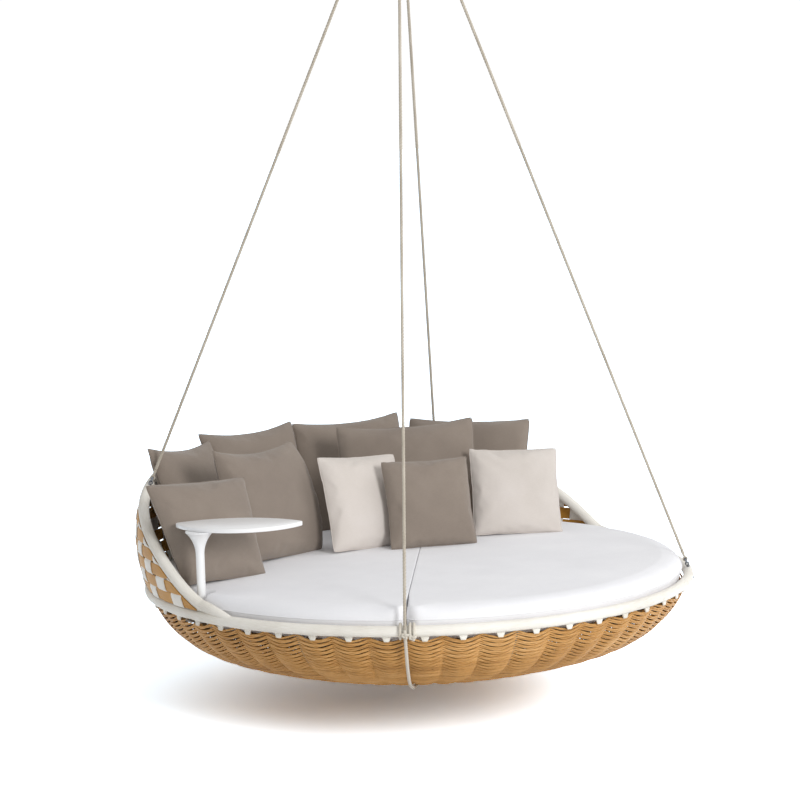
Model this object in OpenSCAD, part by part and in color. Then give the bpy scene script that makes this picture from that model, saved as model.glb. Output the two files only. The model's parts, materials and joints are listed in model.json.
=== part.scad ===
// A round hanging daybed. A wicker bowl hangs from four ropes under a ceiling
// swivel. It has a raised woven back, a split round mattress, ten loose
// cushions and a small leaf-shaped table that turns on a post.
// Millimetres. Z is up and the ceiling face of the mounting plate is at z = 0.
// X is sideways and +Y points at the middle of the back.

/* [Hanging] */
// Depth from the ceiling to the point the four rope lines aim at
head_drop = 40; // [35:1:50]
// Height of that point above the middle of the seat ring
rope_rise = 2625; // [2400:5:2800]
// Rope diameter
rope_d = 12; // [10:1:13]
// Degrees that the bed hangs lower at the back, under the weight of the cushions
hang_back = 2.35; // [2.2:0.05:2.5]
// Degrees that the bed hangs lower at the side of the table
hang_side = 0.68; // [0.6:0.02:0.76]

/* [Seat ring] */
// Radius of the seat ring to the middle of its tube
ring_r = 975; // [970:1:980]
// Outside diameter of the seat ring tube
ring_tube_d = 30; // [29:0.5:31]
// Wall of the seat ring tube
ring_wall = 2.5; // [2:0.25:4]
// Diameter over the flat wrapping on the seat ring
ring_wrap_d = 38; // [37:0.25:38.5]
// Length of the joining spigots along the ring
spigot_length = 90; // [60:5:140]

/* [Bowl] */
// Radius of the lower part of the bowl, seen from the side
bowl_bottom_arc = 2500; // [2450:10:2560]
// Radius of the upper part of the bowl side
bowl_side_arc = 352.3; // [350:0.1:354]
// Inset of the bowl side arc centre from the seat ring
bowl_side_inset = 328.3; // [327:0.1:330]
// Height of the bowl side arc centre above the seat ring
bowl_side_rise = 112; // [110:1:114]
// Thickness of the woven bowl
weave_thick = 8; // [7:0.25:8]
// Distance from the seat ring down to the first woven row
weave_start = 32; // [31:0.5:33]
// Number of flat stakes and of the tabs that hold them
stake_count = 48; // [40:2:56]
// Width of a flat stake
stake_width = 10; // [8:0.5:12]
// Thickness of a flat stake
stake_thick = 3; // [2:0.25:3]
// Width of a tab
tab_width = 23; // [18:0.5:26]
// Thickness of a tab
tab_thick = 6; // [4:0.5:6]
// Height of a tab below the ring
tab_drop = 35; // [33:0.5:38]

/* [Frame] */
// Number of bent ribs under the seat
rib_count = 8; // [6:2:12]
// Rib diameter
rib_d = 16; // [12:0.5:17]
// Radius of the base hub
hub_r = 158; // [150:1:170]
// Thickness of the base hub
hub_thick = 10; // [8:0.5:14]
// Diameter of the deck ring and of the cross tubes
deck_tube_d = 18; // [16:0.5:20]
// Spacing of the cross tubes
deck_tube_gap = 450; // [300:10:520]
// Thickness of the deck board
deck_thick = 12; // [9:0.5:15]
// Radius of the deck board
deck_r = 920; // [880:2:922]

/* [Back] */
// Height of the back rail above the seat ring at the middle
rail_high = 432; // [425:1:440]
// Share of a plain arch in the line of the back rail
rail_arch = 0.8; // [0.6:0.05:0.9]
// How late the rail turns down: higher keeps it high for longer
rail_turn = 5; // [4:0.1:6]
// Diameter of the back rail tube
rail_d = 30; // [29:0.5:31]
// Diameter over the wrapping on the back rail
rail_wrap_d = 39; // [38:0.25:39.5]
// Radius of the upright curve of the back, seen from the side
back_arc = 500; // [496:1:504]
// Inset of the centre of that curve from the seat ring
back_inset = 455; // [452:1:458]
// Height of the centre of that curve above the seat ring
back_rise = 190; // [186:1:194]
// Diameter of the uprights behind the weave
upright_d = 20; // [18:0.5:20.5]
// Angle between two uprights, round the bed
upright_step = 21; // [20:0.1:21.5]
// Height of one woven band
band_height = 45; // [40:0.5:46]
// Distance from one band to the next
band_pitch = 47; // [46.5:0.25:48]
// Thickness of a band or a strap
band_thick = 3; // [2:0.1:3]
// Angle between two straps, round the bed
strap_step = 6; // [5.5:0.1:6]
// Angle that one strap covers
strap_span = 4.2; // [3:0.1:4.5]

/* [Mattress] */
// Height of the mattress edge above the seat ring
mattress_top = 73; // [70:1:75]
// Depth of the mattress bottom below the seat ring
mattress_bottom = 45; // [44:0.5:46]
// Crown in the middle of the mattress
mattress_crown = 7; // [3:0.5:9]
// Gap between the two halves
split_gap = 3; // [2:0.5:6]

/* [Cushions] */
// Fullness of the back cushions
back_full = 120; // [105:1:125]
// Fullness of the middle cushions
middle_full = 130; // [110:1:145]
// Fullness of the front cushions
front_full = 110; // [90:1:125]
// How far the edges draw in between two corners, as a share of the half width
cushion_pinch = 0.05; // [0.02:0.005:0.07]

/* [Table] */
// Height of the table top above the seat ring
table_high = 298; // [285:1:320]
// Thickness of the table top
table_thick = 15; // [10:0.5:20]
// Length of the table top from tip to tip
table_length = 446; // [420:1:470]
// Bulge of the front edge of the table top
table_front_bulge = 150; // [135:1:160]
// Bulge of the back edge of the table top
table_back_bulge = 90; // [80:1:105]
// Diameter of the table post
post_d = 30; // [28:0.5:31]
// Radius of the flare under the table top
flare_r = 48; // [40:1:56]
// Height of the flare
flare_high = 77; // [60:1:90]

/* [Fits] */
// Clearance round the hinge pins
pin_clear = 0.06; // [0.04:0.01:0.1]
// Clearance round the swivel stem
stem_clear = 0.06; // [0.04:0.01:0.1]
// Clearance between two faces that slide or rest
face_clear = 0.3; // [0.2:0.05:0.4]
// Clearance round the table post in its bush
post_clear = 0.08; // [0.04:0.01:0.1]

/* [Hidden] */
$fn = 64;
C_WHITE = [0.93, 0.92, 0.88];
C_TAN = [0.72, 0.52, 0.24];
C_WICKER = [0.74, 0.55, 0.31];
C_TAUPE = [0.56, 0.52, 0.47];
C_CREAM = [0.86, 0.82, 0.80];
C_PAD = [0.92, 0.92, 0.93];
C_ROPE = [0.75, 0.71, 0.66];
C_STEEL = [0.7, 0.7, 0.72];
C_WOOD = [0.7, 0.6, 0.45];

ring_z = -(head_drop + rope_rise);
wrap_r = ring_wrap_d / 2;
side_r = ring_r - bowl_side_inset;
bottom_z = bowl_side_rise + sqrt(pow(bowl_bottom_arc - bowl_side_arc, 2) - side_r * side_r);
// direction from either arc centre to the point where the two bowl arcs meet
meet_a = atan2(bowl_side_rise - bottom_z, side_r);
stake_first = 180 / stake_count;
stake_off = weave_thick + 0.1;
rib_off = stake_off + stake_thick + 0.4 + rib_d / 2;
rib_inner = rib_off + rib_d / 2;
deck_top = -mattress_bottom - face_clear;
deck_ring_z = deck_top - deck_thick - deck_tube_d / 2;
deck_ring_r = side_r + sqrt(pow(bowl_side_arc - rib_inner - deck_tube_d / 2 - 0.2, 2)
    - pow(deck_ring_z - bowl_side_rise, 2));

// back rail: it leaves the seat ring at the sides and rises to the middle of the back
back_c = ring_r - back_inset;
rail_low = wrap_r + rail_wrap_d / 2;
rail_half = 88.5;
rail_in = 21;
function clamp(v, a, b) = max(a, min(b, v));
function rail_u(az) = clamp(abs(az - 90) / rail_half, 0, 1);
// the rail comes down from its top in a soft S, with a share of a plain arch in it
function rail_rise(u) = (1 - rail_arch) * (1 + cos(180 * pow(u, rail_turn))) / 2 + rail_arch * (1 - u * u);
function rail_z(az) = rail_low + (rail_high - rail_low) * rail_rise(rail_u(az));
// the place along the rail, from 0 to 1, that has a given share of its rise
function rail_u_at(share, a = 0, b = 1, n = 30) = let (m = (a + b) / 2)
    n == 0 ? m : rail_rise(m) > share ? rail_u_at(share, m, b, n - 1) : rail_u_at(share, a, m, n - 1);
function back_r(z) = back_c + sqrt(back_arc * back_arc - pow(z - back_rise, 2));
function rail_r(az) = back_r(rail_z(az)) - rail_in;
function rail_at(az) = [rail_r(az) * cos(az), rail_r(az) * sin(az), rail_z(az)];
function rail_slope(az) = (rail_z(min(az + 1, 178.4)) - rail_z(max(az - 1, 1.6))) / (2 * ring_r) * 57.3;
function steep(az) = sqrt(1 + pow(rail_slope(az), 2));
// a layer of the weave, at a depth below the outer face, ends just under the wrapped rail
function under_rail(az, depth) = steep(az) * max([for (e = [0 : 0.5 : 21])
    norm([back_r(rail_z(az) - e) - depth - rail_r(az), e]) < rail_wrap_d / 2 + 0.8 ? e + 0.5 : 0]);
function weave_top(az, depth) = rail_z(az) - under_rail(az, depth) - 0.8
    - 0.15 * max(0, abs(az - 90) - 75);
// angle from the middle of the back where the rail is at height z
function rail_side(z) = rail_half * rail_u_at(clamp((z - rail_low) / (rail_high - rail_low), 0, 1));

// rope lines
apex = [0, 0, -head_drop];
rope_az_rail = 46.8;
rope_turn_r = wrap_r + rope_d / 2 + 0.3;
function unit(v) = v / norm(v);
function polar(r, az, z) = [r * cos(az), r * sin(az), z + ring_z];
ring_foot_out = 8;
front_a = atan2(ring_r, rope_rise);
foot_ring = polar(ring_r + ring_foot_out * cos(front_a), 315, ring_foot_out * sin(front_a));
foot_left = rail_at(90 + rope_az_rail) + [0, 0, ring_z];
foot_right = rail_at(90 - rope_az_rail) + [0, 0, ring_z];
// the front rope passes down the outer side of the ring
foot_front = polar(ring_r + rope_turn_r * cos(front_a), 225, rope_turn_r * sin(front_a));

// rope plate under the swivel
plate_z = -116;
plate_thick = 8;
rope_top = -98;
tail_reach = 80;

// ---------------------------------------------------------------- helpers
// what hangs on the upper pin, turned about that pin until its weight is under it
module on_upper_pin() {
    translate([0, 0, upper_pin_z]) rotate([-hang_back, 0, 0]) translate([0, 0, -upper_pin_z])
        children();
}

// what hangs on the lower pin as well
module on_lower_pin() {
    on_upper_pin() translate([0, 0, lower_pin_z]) rotate([0, -hang_side, 0])
        translate([0, 0, -lower_pin_z]) children();
}

module at_ring() {
    on_lower_pin() translate([0, 0, ring_z]) children();
}

module around(count, first) {
    for (i = [0 : count - 1]) rotate([0, 0, first + i * 360 / count]) children();
}

// a round rod bent along an arc that lies in the upright plane through X
module arc_rod(cx, cz, radius, rod_r, a0, a1) {
    translate([cx, 0, cz]) rotate([90, 0, 0]) rotate([0, 0, a0])
        rotate_extrude(angle = a1 - a0, $fn = 360) translate([radius, 0]) circle(rod_r, $fn = 32);
}

// place something on the line from a foot point up to the rope apex
module on_rope(foot, az) {
    d = unit(apex - foot);
    translate(foot) rotate([0, 0, az]) rotate([0, -acos(d[2]), 0]) children();
}

// half section of everything inside the bowl surface, moved inward by off
module bowl_inside(off, top) {
    intersection() {
        translate([0, -600]) square([1200, 600 + top]);
        union() {
            intersection() {
                translate([0, bottom_z]) circle(bowl_bottom_arc - off, $fn = 720);
                polygon([[0, bottom_z], [0, -600],
                    [side_r * (bottom_z + 600) / (bottom_z - bowl_side_rise), -600]]);
            }
            intersection() {
                translate([side_r, bowl_side_rise]) circle(bowl_side_arc - off, $fn = 180);
                polygon([[side_r, bowl_side_rise],
                    [side_r + 900 * cos(meet_a - 2), bowl_side_rise + 900 * sin(meet_a - 2)],
                    [side_r + 900, bowl_side_rise + 900 * sin(meet_a)],
                    [side_r + 900, bowl_side_rise]]);
            }
        }
    }
}

function circle_points(c, n1, n2, r, n) =
    [for (i = [0 : n - 1]) c + r * cos(360 * i / n) * n1 + r * sin(360 * i / n) * n2];
function skin(rows, n, flip, base) = [for (j = [0 : rows - 2], i = [0 : n - 1], h = [0, 1])
    let (a = base + j * n + i, b = base + j * n + (i + 1) % n, c = a + n, d = b + n)
    flip ? (h == 0 ? [a, c, d] : [a, d, b]) : (h == 0 ? [a, d, c] : [a, b, d])];
function cap(n, base, flip) = [[for (i = [0 : n - 1]) base + (flip ? i : n - 1 - i)]];
function across(n, base_out, base_in, flip) = [for (i = [0 : n - 1], h = [0, 1])
    let (a = base_out + i, b = base_out + (i + 1) % n, c = base_in + i, d = base_in + (i + 1) % n)
    flip ? (h == 0 ? [a, b, d] : [a, d, c]) : (h == 0 ? [a, d, b] : [a, c, d])];

// a solid bar of circles; each ring is [centre, n1, n2]
module bar(rings, r, n) {
    m = len(rings);
    pts = [for (k = rings) each circle_points(k[0], k[1], k[2], r, n)];
    polyhedron(points = pts, faces = concat(skin(m, n, true, 0), cap(n, 0, true),
        cap(n, (m - 1) * n, false)), convexity = 6);
}

// a pipe of circles
module pipe(rings, r_out, r_in, n) {
    m = len(rings);
    pts = concat([for (k = rings) each circle_points(k[0], k[1], k[2], r_out, n)],
        [for (k = rings) each circle_points(k[0], k[1], k[2], r_in, n)]);
    polyhedron(points = pts, faces = concat(skin(m, n, true, 0), skin(m, n, false, m * n),
        across(n, 0, m * n, true), across(n, (m - 1) * n, (2 * m - 1) * n, false)), convexity = 8);
}

rail_steps = 47;
rail_rings = [for (i = [0 : rail_steps]) let (
    az = 90 - rail_half + 2 * rail_half * i / rail_steps,
    az_a = max(az - 0.5, 90 - rail_half), az_b = min(az + 0.5, 90 + rail_half),
    t = unit(rail_at(az_b) - rail_at(az_a)),
    out = [cos(az), sin(az), 0],
    n1 = unit(out - (out * t) * t), n2 = cross(t, n1)) [rail_at(az), n1, n2]];

// a straight taut rope from a to b
module taut_rope(a, b, az) {
    t = unit(b - a);
    n2 = [-sin(az), cos(az), 0];
    n1 = cross(n2, t);
    bar([for (i = [0 : 19]) [a + (b - a) * i / 19, n1, n2]], rope_d / 2, 10);
}

// cut away what stands above the line from (az a0, height z0) to (az a1, height z1)
module cut_above(a0, z0, a1, z1) {
    am = (a0 + a1) / 2;
    s = 2 * ring_r * sin((a1 - a0) / 2);
    difference() {
        children();
        rotate([0, 0, am]) translate([ring_r, 0, (z0 + z1) / 2])
            rotate([atan2(z1 - z0, s), 0, 0]) translate([-120, -260, 0]) cube([240, 520, 400]);
    }
}

// a strip of the curved back between two heights, from depth d0 to depth d1
module back_strip(az0, az1, z0, z1, d0, d1) {
    rotate([0, 0, az0]) rotate_extrude(angle = az1 - az0, $fn = 360) intersection() {
        translate([back_c, z0]) square([600, z1 - z0]);
        difference() {
            translate([back_c, back_rise]) circle(back_arc - d0, $fn = 180);
            translate([back_c, back_rise]) circle(back_arc - d1, $fn = 180);
        }
    }
}

// ---------------------------------------------------------------- ceiling fitting
head_pin_d = 12;
head_plate_d = 140;
head_bolt_pcd = 105;
upper_pin_z = -30;
lower_pin_z = -58;
block_half = 12;
lug_thick = 6;
lug_in = block_half + face_clear;
yoke_z = -86;
yoke_thick = 8;
stem_d = 14;

module ceiling_plate() {
    color(C_STEEL) difference() {
        union() {
            translate([0, 0, -8]) cylinder(h = 8, d = head_plate_d);
            for (s = [-1, 1]) {
                x = s > 0 ? lug_in : -lug_in - lug_thick;
                translate([x, -14, upper_pin_z]) cube([lug_thick, 28, -8 - upper_pin_z]);
                translate([x, 0, upper_pin_z]) rotate([0, 90, 0]) cylinder(h = lug_thick, r = 14);
            }
        }
        around(4, 45) translate([head_bolt_pcd / 2, 0, -9]) cylinder(h = 10, d = 11);
        translate([-40, 0, upper_pin_z]) rotate([0, 90, 0])
            cylinder(h = 80, d = head_pin_d + 2 * pin_clear);
    }
}

module clevis_pin() {
    reach = lug_in + lug_thick + face_clear;
    translate([0, 0, -reach - 5]) cylinder(h = 2 * reach + 9, d = head_pin_d);
    translate([0, 0, reach]) cylinder(h = 4, d = 19);
    translate([0, 0, -reach - 3]) cylinder(h = 3, d = 17);
}

module swing_pin_upper() {
    color(C_STEEL) translate([0, 0, upper_pin_z]) rotate([0, 90, 0]) clevis_pin();
}

module cross_block() {
    color(C_STEEL) on_upper_pin() difference() {
        translate([-block_half, -block_half, lower_pin_z - 12])
            cube([2 * block_half, 2 * block_half, upper_pin_z - lower_pin_z + 24]);
        translate([-40, 0, upper_pin_z]) rotate([0, 90, 0])
            cylinder(h = 80, d = head_pin_d + 2 * pin_clear);
        translate([0, -40, lower_pin_z]) rotate([-90, 0, 0])
            cylinder(h = 80, d = head_pin_d + 2 * pin_clear);
    }
}

module swing_pin_lower() {
    color(C_STEEL) on_upper_pin() translate([0, 0, lower_pin_z]) rotate([90, 0, 0]) clevis_pin();
}

module swivel_yoke() {
    color(C_STEEL) on_lower_pin() difference() {
        union() {
            for (s = [-1, 1]) {
                y = s > 0 ? lug_in : -lug_in - lug_thick;
                translate([-12, y, yoke_z - yoke_thick / 2])
                    cube([24, lug_thick, lower_pin_z - yoke_z + yoke_thick / 2]);
                translate([0, y, lower_pin_z]) rotate([-90, 0, 0]) cylinder(h = lug_thick, r = 12);
            }
            translate([0, 0, yoke_z - yoke_thick]) cylinder(h = yoke_thick, r = 22);
        }
        translate([0, -40, lower_pin_z]) rotate([-90, 0, 0])
            cylinder(h = 80, d = head_pin_d + 2 * pin_clear);
        translate([0, 0, yoke_z - 20]) cylinder(h = 40, d = stem_d + 2 * stem_clear);
    }
}

module thrust_washer() {
    color(C_STEEL) on_lower_pin() translate([0, 0, yoke_z + 0.05]) difference() {
        cylinder(h = 2, d = 23);
        translate([0, 0, -1]) cylinder(h = 4, d = stem_d + 2 * stem_clear);
    }
}

module swivel_stem() {
    color(C_STEEL) on_lower_pin() {
        translate([0, 0, yoke_z + 2.1]) cylinder(h = 6, d = 22);
        translate([0, 0, -138]) cylinder(h = yoke_z + 4 + 138, d = stem_d);
    }
}

module stem_nut() {
    color(C_STEEL) on_lower_pin() translate([0, 0, plate_z - plate_thick / 2 - 12.1]) difference() {
        cylinder(h = 12, d = 26);
        translate([0, 0, -1]) cylinder(h = 14, d = stem_d + 0.1);
    }
}

module rope_plate() {
    color(C_STEEL) on_lower_pin() difference() {
        translate([0, 0, plate_z - plate_thick / 2]) cylinder(h = plate_thick, d = 96);
        translate([0, 0, plate_z - 10]) cylinder(h = 20, d = stem_d + 0.2);
        rope_bore(foot_left);
        rope_bore(foot_right);
        rope_bore(foot_ring);
        rope_bore(foot_front);
    }
}

function along(foot, z) = foot + (apex - foot) * (z - foot[2]) / (apex[2] - foot[2]);
function az_of(p) = atan2(p[1], p[0]);

module rope_bore(foot) {
    on_rope(along(foot, plate_z), az_of(foot)) cylinder(h = 40, d = rope_d + 0.8, center = true);
}

module stop_sleeve(foot) {
    difference() {
        on_rope(along(foot, rope_top), az_of(foot)) translate([0, 0, -24])
            difference() {
                cylinder(h = 24, d = 20);
                translate([0, 0, -1]) cylinder(h = 26, d = rope_d + 0.2);
            }
        translate([-60, -60, plate_z + plate_thick / 2 - 59.9]) cube([120, 120, 60]);
    }
}

// stop sleeves clamped on the rope ends over the plate
module rope_stops() {
    color(C_STEEL) on_lower_pin() {
        stop_sleeve(foot_left);
        stop_sleeve(foot_right);
        stop_sleeve(foot_ring);
        stop_sleeve(foot_front);
    }
}

// ---------------------------------------------------------------- ropes
module rope_to_tail(foot) {
    taut_rope(foot + unit(apex - foot) * tail_reach, along(foot, rope_top), az_of(foot));
}

module rope_back_left() {
    color(C_ROPE) on_lower_pin() rope_to_tail(foot_left);
}

module rope_back_right() {
    color(C_ROPE) on_lower_pin() rope_to_tail(foot_right);
}

module rope_front_right() {
    color(C_ROPE) on_lower_pin() rope_to_tail(foot_ring);
}

module rope_front_left() {
    color(C_ROPE) on_lower_pin() taut_rope(foot_front + unit(apex - foot_front) * 0.2,
        along(foot_front, rope_top), az_of(foot_front));
}

module each_foot() {
    on_rope(foot_left, az_of(foot_left)) children();
    on_rope(foot_right, az_of(foot_right)) children();
    on_rope(foot_ring, az_of(foot_ring)) children();
}

bolt_d = 8;
foot_lift = 2.4;
eye_up = 29;
shackle_up = 37;
shackle_half = 7;
tail_pin_up = 47;

// lift clears the collar and the nut from a tube that isn't square to the rope
module eye_bolt(seat, lift) {
    translate([0, 0, -30]) cylinder(h = 30 + eye_up - 5.5, d = bolt_d);
    translate([0, 0, seat + lift]) cylinder(h = 2, d = 12);
    translate([0, 0, eye_up]) rotate([90, 0, 0]) rotate_extrude() translate([6, 0]) circle(2.5);
}

module eye_bolts() {
    color(C_STEEL) on_lower_pin() {
        on_rope(foot_left, az_of(foot_left)) eye_bolt(rail_wrap_d / 2, foot_lift);
        on_rope(foot_right, az_of(foot_right)) eye_bolt(rail_wrap_d / 2, foot_lift);
        on_rope(foot_ring, az_of(foot_ring)) eye_bolt(wrap_r, 0.1);
    }
}

module eye_bolt_nuts() {
    color(C_STEEL) on_lower_pin() {
        on_rope(foot_left, az_of(foot_left)) foot_nut(rail_wrap_d / 2 + foot_lift);
        on_rope(foot_right, az_of(foot_right)) foot_nut(rail_wrap_d / 2 + foot_lift);
        on_rope(foot_ring, az_of(foot_ring)) foot_nut(wrap_r);
    }
}

module foot_nut(seat) {
    translate([0, 0, -seat - 5.5]) difference() {
        cylinder(h = 5.5, d = 12.5);
        translate([0, 0, -1]) cylinder(h = 8, d = bolt_d + 0.1);
    }
}

// a bow through the eye, with two ears for the pin
module shackles() {
    color(C_STEEL) on_lower_pin() each_foot() {
        translate([0, 0, shackle_up]) rotate([0, 0, 90]) arc_rod(0, 0, shackle_half, 2.2, 178, 362);
        for (s = [-1, 1]) translate([0, s * shackle_half - 1.8, tail_pin_up]) rotate([-90, 0, 0])
            difference() {
                union() {
                    cylinder(h = 3.6, d = 10);
                    translate([-3, 0, 0]) cube([6, tail_pin_up - shackle_up, 3.6]);
                }
                translate([0, 0, -1]) cylinder(h = 6, d = 4.2);
            }
    }
}

module shackle_pins() {
    color(C_STEEL) on_lower_pin() each_foot() translate([0, -shackle_half - 5, tail_pin_up])
        rotate([-90, 0, 0]) {
        cylinder(h = 2 * shackle_half + 8, d = 4);
        cylinder(h = 2.8, d = 8);
    }
}

// bound rope ends: a small loop round the pin and a tapered whipping
module rope_tails() {
    color(C_ROPE) on_lower_pin() each_foot() difference() {
        union() {
            translate([0, 0, tail_pin_up + 1]) rotate([90, 0, 0])
                rotate_extrude() translate([6.5, 0]) circle(3.2);
            translate([0, 0, tail_pin_up + 7]) cylinder(h = tail_reach - tail_pin_up - 7.1, d1 = 7,
                d2 = rope_d + 1);
        }
    }
}

// the front rope is tied round the seat ring; the sling under the bowl starts in the same turns
module ring_turns() {
    for (a = [-16, 16, 29]) rotate([0, 0, a / ring_r * 57.3]) translate([ring_r, 0, 0])
        rotate([90, 0, 0]) rotate_extrude() translate([wrap_r + 5.2, 0]) circle(5);
}

module rope_lashing_front() {
    color(C_ROPE) at_ring() rotate([0, 0, 225]) ring_turns();
}

module rope_lashing_back() {
    color(C_ROPE) at_ring() rotate([0, 0, 45]) ring_turns();
}

sling_r = 6;
sling_arc = bowl_side_arc + sling_r + 1;
// the sling leaves the ring and meets the bowl side along the line that touches both
leave_a = atan2(-bowl_side_rise, bowl_side_inset)
    - acos((sling_arc - rope_turn_r) / norm([bowl_side_inset, bowl_side_rise]));
leave_at = [ring_r + rope_turn_r * cos(leave_a), 0, rope_turn_r * sin(leave_a)];
meet_at = [side_r + sling_arc * cos(leave_a), 0, bowl_side_rise + sling_arc * sin(leave_a)];

module half_sling() {
    // round the outer side of the ring, straight to the bowl, then down its side
    arc_rod(ring_r, 0, rope_turn_r, sling_r, leave_a, front_a - 0.1);
    translate(leave_at) rotate([0, 180 - leave_a, 0]) translate([0, 0, 0.03])
        cylinder(h = norm(meet_at - leave_at) - 0.06, r = sling_r);
    arc_rod(side_r, bowl_side_rise, sling_arc, sling_r, meet_a + 0.01, leave_a);
}

module sling_rope() {
    low_a = meet_a - 0.002;
    color(C_ROPE) at_ring() {
        rotate([0, 0, 225]) half_sling();
        rotate([0, 0, 45]) half_sling();
        rotate([0, 0, 45]) arc_rod(0, bottom_z, bowl_bottom_arc + sling_r + 1, sling_r, -180 - low_a, low_a);
    }
}

// ---------------------------------------------------------------- seat ring and bowl
module ring_half(first) {
    color(C_STEEL) at_ring() difference() {
        rotate([0, 0, first]) rotate_extrude(angle = 180, $fn = 180) translate([ring_r, 0])
            difference() {
                circle(d = ring_tube_d);
                circle(d = ring_tube_d - 2 * ring_wall);
            }
        at_rings_foot() cylinder(h = 80, d = bolt_d + 0.3, center = true);
        bracket_bolts() cylinder(h = 20, d = 6.4, center = true);
    }
}

// frame of the ring's rope foot, seen from the ring
module at_rings_foot() {
    translate([0, 0, -ring_z]) on_rope(foot_ring, az_of(foot_ring)) children();
}

module seat_ring_left() {
    ring_half(90);
}

module seat_ring_right() {
    ring_half(270);
}

module ring_spigots() {
    a = spigot_length / ring_r * 57.3;
    color(C_STEEL) at_ring() for (az = [90, 270]) rotate([0, 0, az - a / 2])
        rotate_extrude(angle = a, $fn = 180) translate([ring_r, 0])
            circle(d = ring_tube_d - 2 * ring_wall - 0.4);
}

module ring_wrap() {
    color(C_WHITE) at_ring() difference() {
        for (az = [0 : 90 : 270]) rotate([0, 0, az + 0.02]) rotate_extrude(angle = 89.96, $fn = 180)
            translate([ring_r, 0]) difference() {
                circle(r = wrap_r);
                circle(d = ring_tube_d + 0.2);
            }
        at_rings_foot() cylinder(h = 80, d = bolt_d + 0.3, center = true);
        // the bolts that hold the table bracket
        bracket_bolts() cylinder(h = 20, d = 6.4, center = true);
    }
}

module frame_ribs() {
    color(C_STEEL) at_ring() around(rib_count, 180 / rib_count) {
        arc_rod(side_r, bowl_side_rise, bowl_side_arc - rib_off, rib_d / 2, meet_a, -22.4);
        arc_rod(0, bottom_z, bowl_bottom_arc - rib_off, rib_d / 2,
            -acos((hub_r + 0.6) / (bowl_bottom_arc - rib_off)), meet_a);
    }
}

module base_hub() {
    // its rim rests on the stakes
    rim_z = bottom_z - sqrt(pow(bowl_bottom_arc - stake_off - stake_thick, 2) - hub_r * hub_r);
    color(C_STEEL) at_ring() translate([0, 0, rim_z + 0.1]) cylinder(h = hub_thick, r = hub_r, $fn = 180);
}

module deck_ring() {
    color(C_STEEL) at_ring() translate([0, 0, deck_ring_z])
        rotate_extrude($fn = 180) translate([deck_ring_r, 0]) circle(d = deck_tube_d);
}

module deck_tubes() {
    color(C_STEEL) at_ring() for (i = [-1 : 1]) {
        y = i * deck_tube_gap;
        half = sqrt(deck_ring_r * deck_ring_r - y * y) - 1;
        difference() {
            translate([-half, y, deck_ring_z]) rotate([0, 90, 0])
                cylinder(h = 2 * half, d = deck_tube_d);
            translate([0, 0, deck_ring_z]) rotate_extrude($fn = 180)
                translate([deck_ring_r, 0]) circle(d = deck_tube_d + 0.1);
        }
    }
}

module deck_panel() {
    color(C_WOOD) at_ring() translate([0, 0, deck_top - deck_thick]) difference() {
        cylinder(h = deck_thick, r = deck_r, $fn = 180);
        at_post() cylinder(h = 100, r = post_d / 2 + 12, center = true);
    }
}

module bowl_stakes() {
    color(C_WICKER) at_ring() around(stake_count, stake_first) rotate([90, 0, 0])
        translate([0, 0, -stake_width / 2]) linear_extrude(stake_width) intersection() {
            difference() {
                bowl_inside(stake_off, -weave_start);
                bowl_inside(stake_off + stake_thick, -weave_start + 5);
            }
            translate([hub_r - 46, -600]) square([1000, 600]);
        }
}

module stake_tabs() {
    color(C_WHITE) at_ring() around(stake_count, stake_first)
        translate([ring_r - 8.5, -tab_width / 2, -tab_drop])
            cube([tab_thick, tab_width, tab_drop - sqrt(pow(wrap_r, 2) - pow(8.5 - tab_thick, 2)) - 0.1]);
}

module bowl_weave() {
    color(C_WICKER) at_ring() rotate_extrude($fn = 180) difference() {
        bowl_inside(0, -weave_start - 3.2);
        bowl_inside(weave_thick, -weave_start + 5);
    }
}

// ---------------------------------------------------------------- back
module back_rail() {
    color(C_STEEL) at_ring() difference() {
        pipe(rail_rings, rail_d / 2, rail_d / 2 - 2.5, 12);
        translate([0, 0, -ring_z]) {
            on_rope(foot_left, az_of(foot_left)) cylinder(h = 80, d = bolt_d + 0.4, center = true);
            on_rope(foot_right, az_of(foot_right)) cylinder(h = 80, d = bolt_d + 0.4, center = true);
        }
    }
}

module back_rail_wrap() {
    color(C_WHITE) at_ring() difference() {
        pipe(rail_rings, rail_wrap_d / 2, rail_d / 2 + 0.2, 12);
        translate([0, 0, -ring_z]) {
            on_rope(foot_left, az_of(foot_left)) cylinder(h = 80, d = bolt_d + 0.4, center = true);
            on_rope(foot_right, az_of(foot_right)) cylinder(h = 80, d = bolt_d + 0.4, center = true);
        }
    }
}

upright_in = 3 * band_thick + upright_d / 2 + 0.5;
upright_arc = back_arc - upright_in;

module back_uprights() {
    color(C_STEEL) at_ring() for (k = [-3 : 3]) {
        az = 90 + k * upright_step;
        low = asin((wrap_r + 3.1 - back_rise) / upright_arc);
        end_z = rail_z(az) - rail_wrap_d / 2 * steep(az) - upright_d / 2 * abs(rail_slope(az)) - 2;
        high = asin((end_z - back_rise) / upright_arc);
        rotate([0, 0, az]) arc_rod(back_c, back_rise, upright_arc, upright_d / 2, low, high);
    }
}

band_low = wrap_r - 0.2;

// a window low in the weave for the rope turns behind it
module weave_window() {
    difference() {
        children();
        rotate([0, 0, 45]) translate([ring_r, -24, 0]) cube([60, 61, 32]);
    }
}

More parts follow.
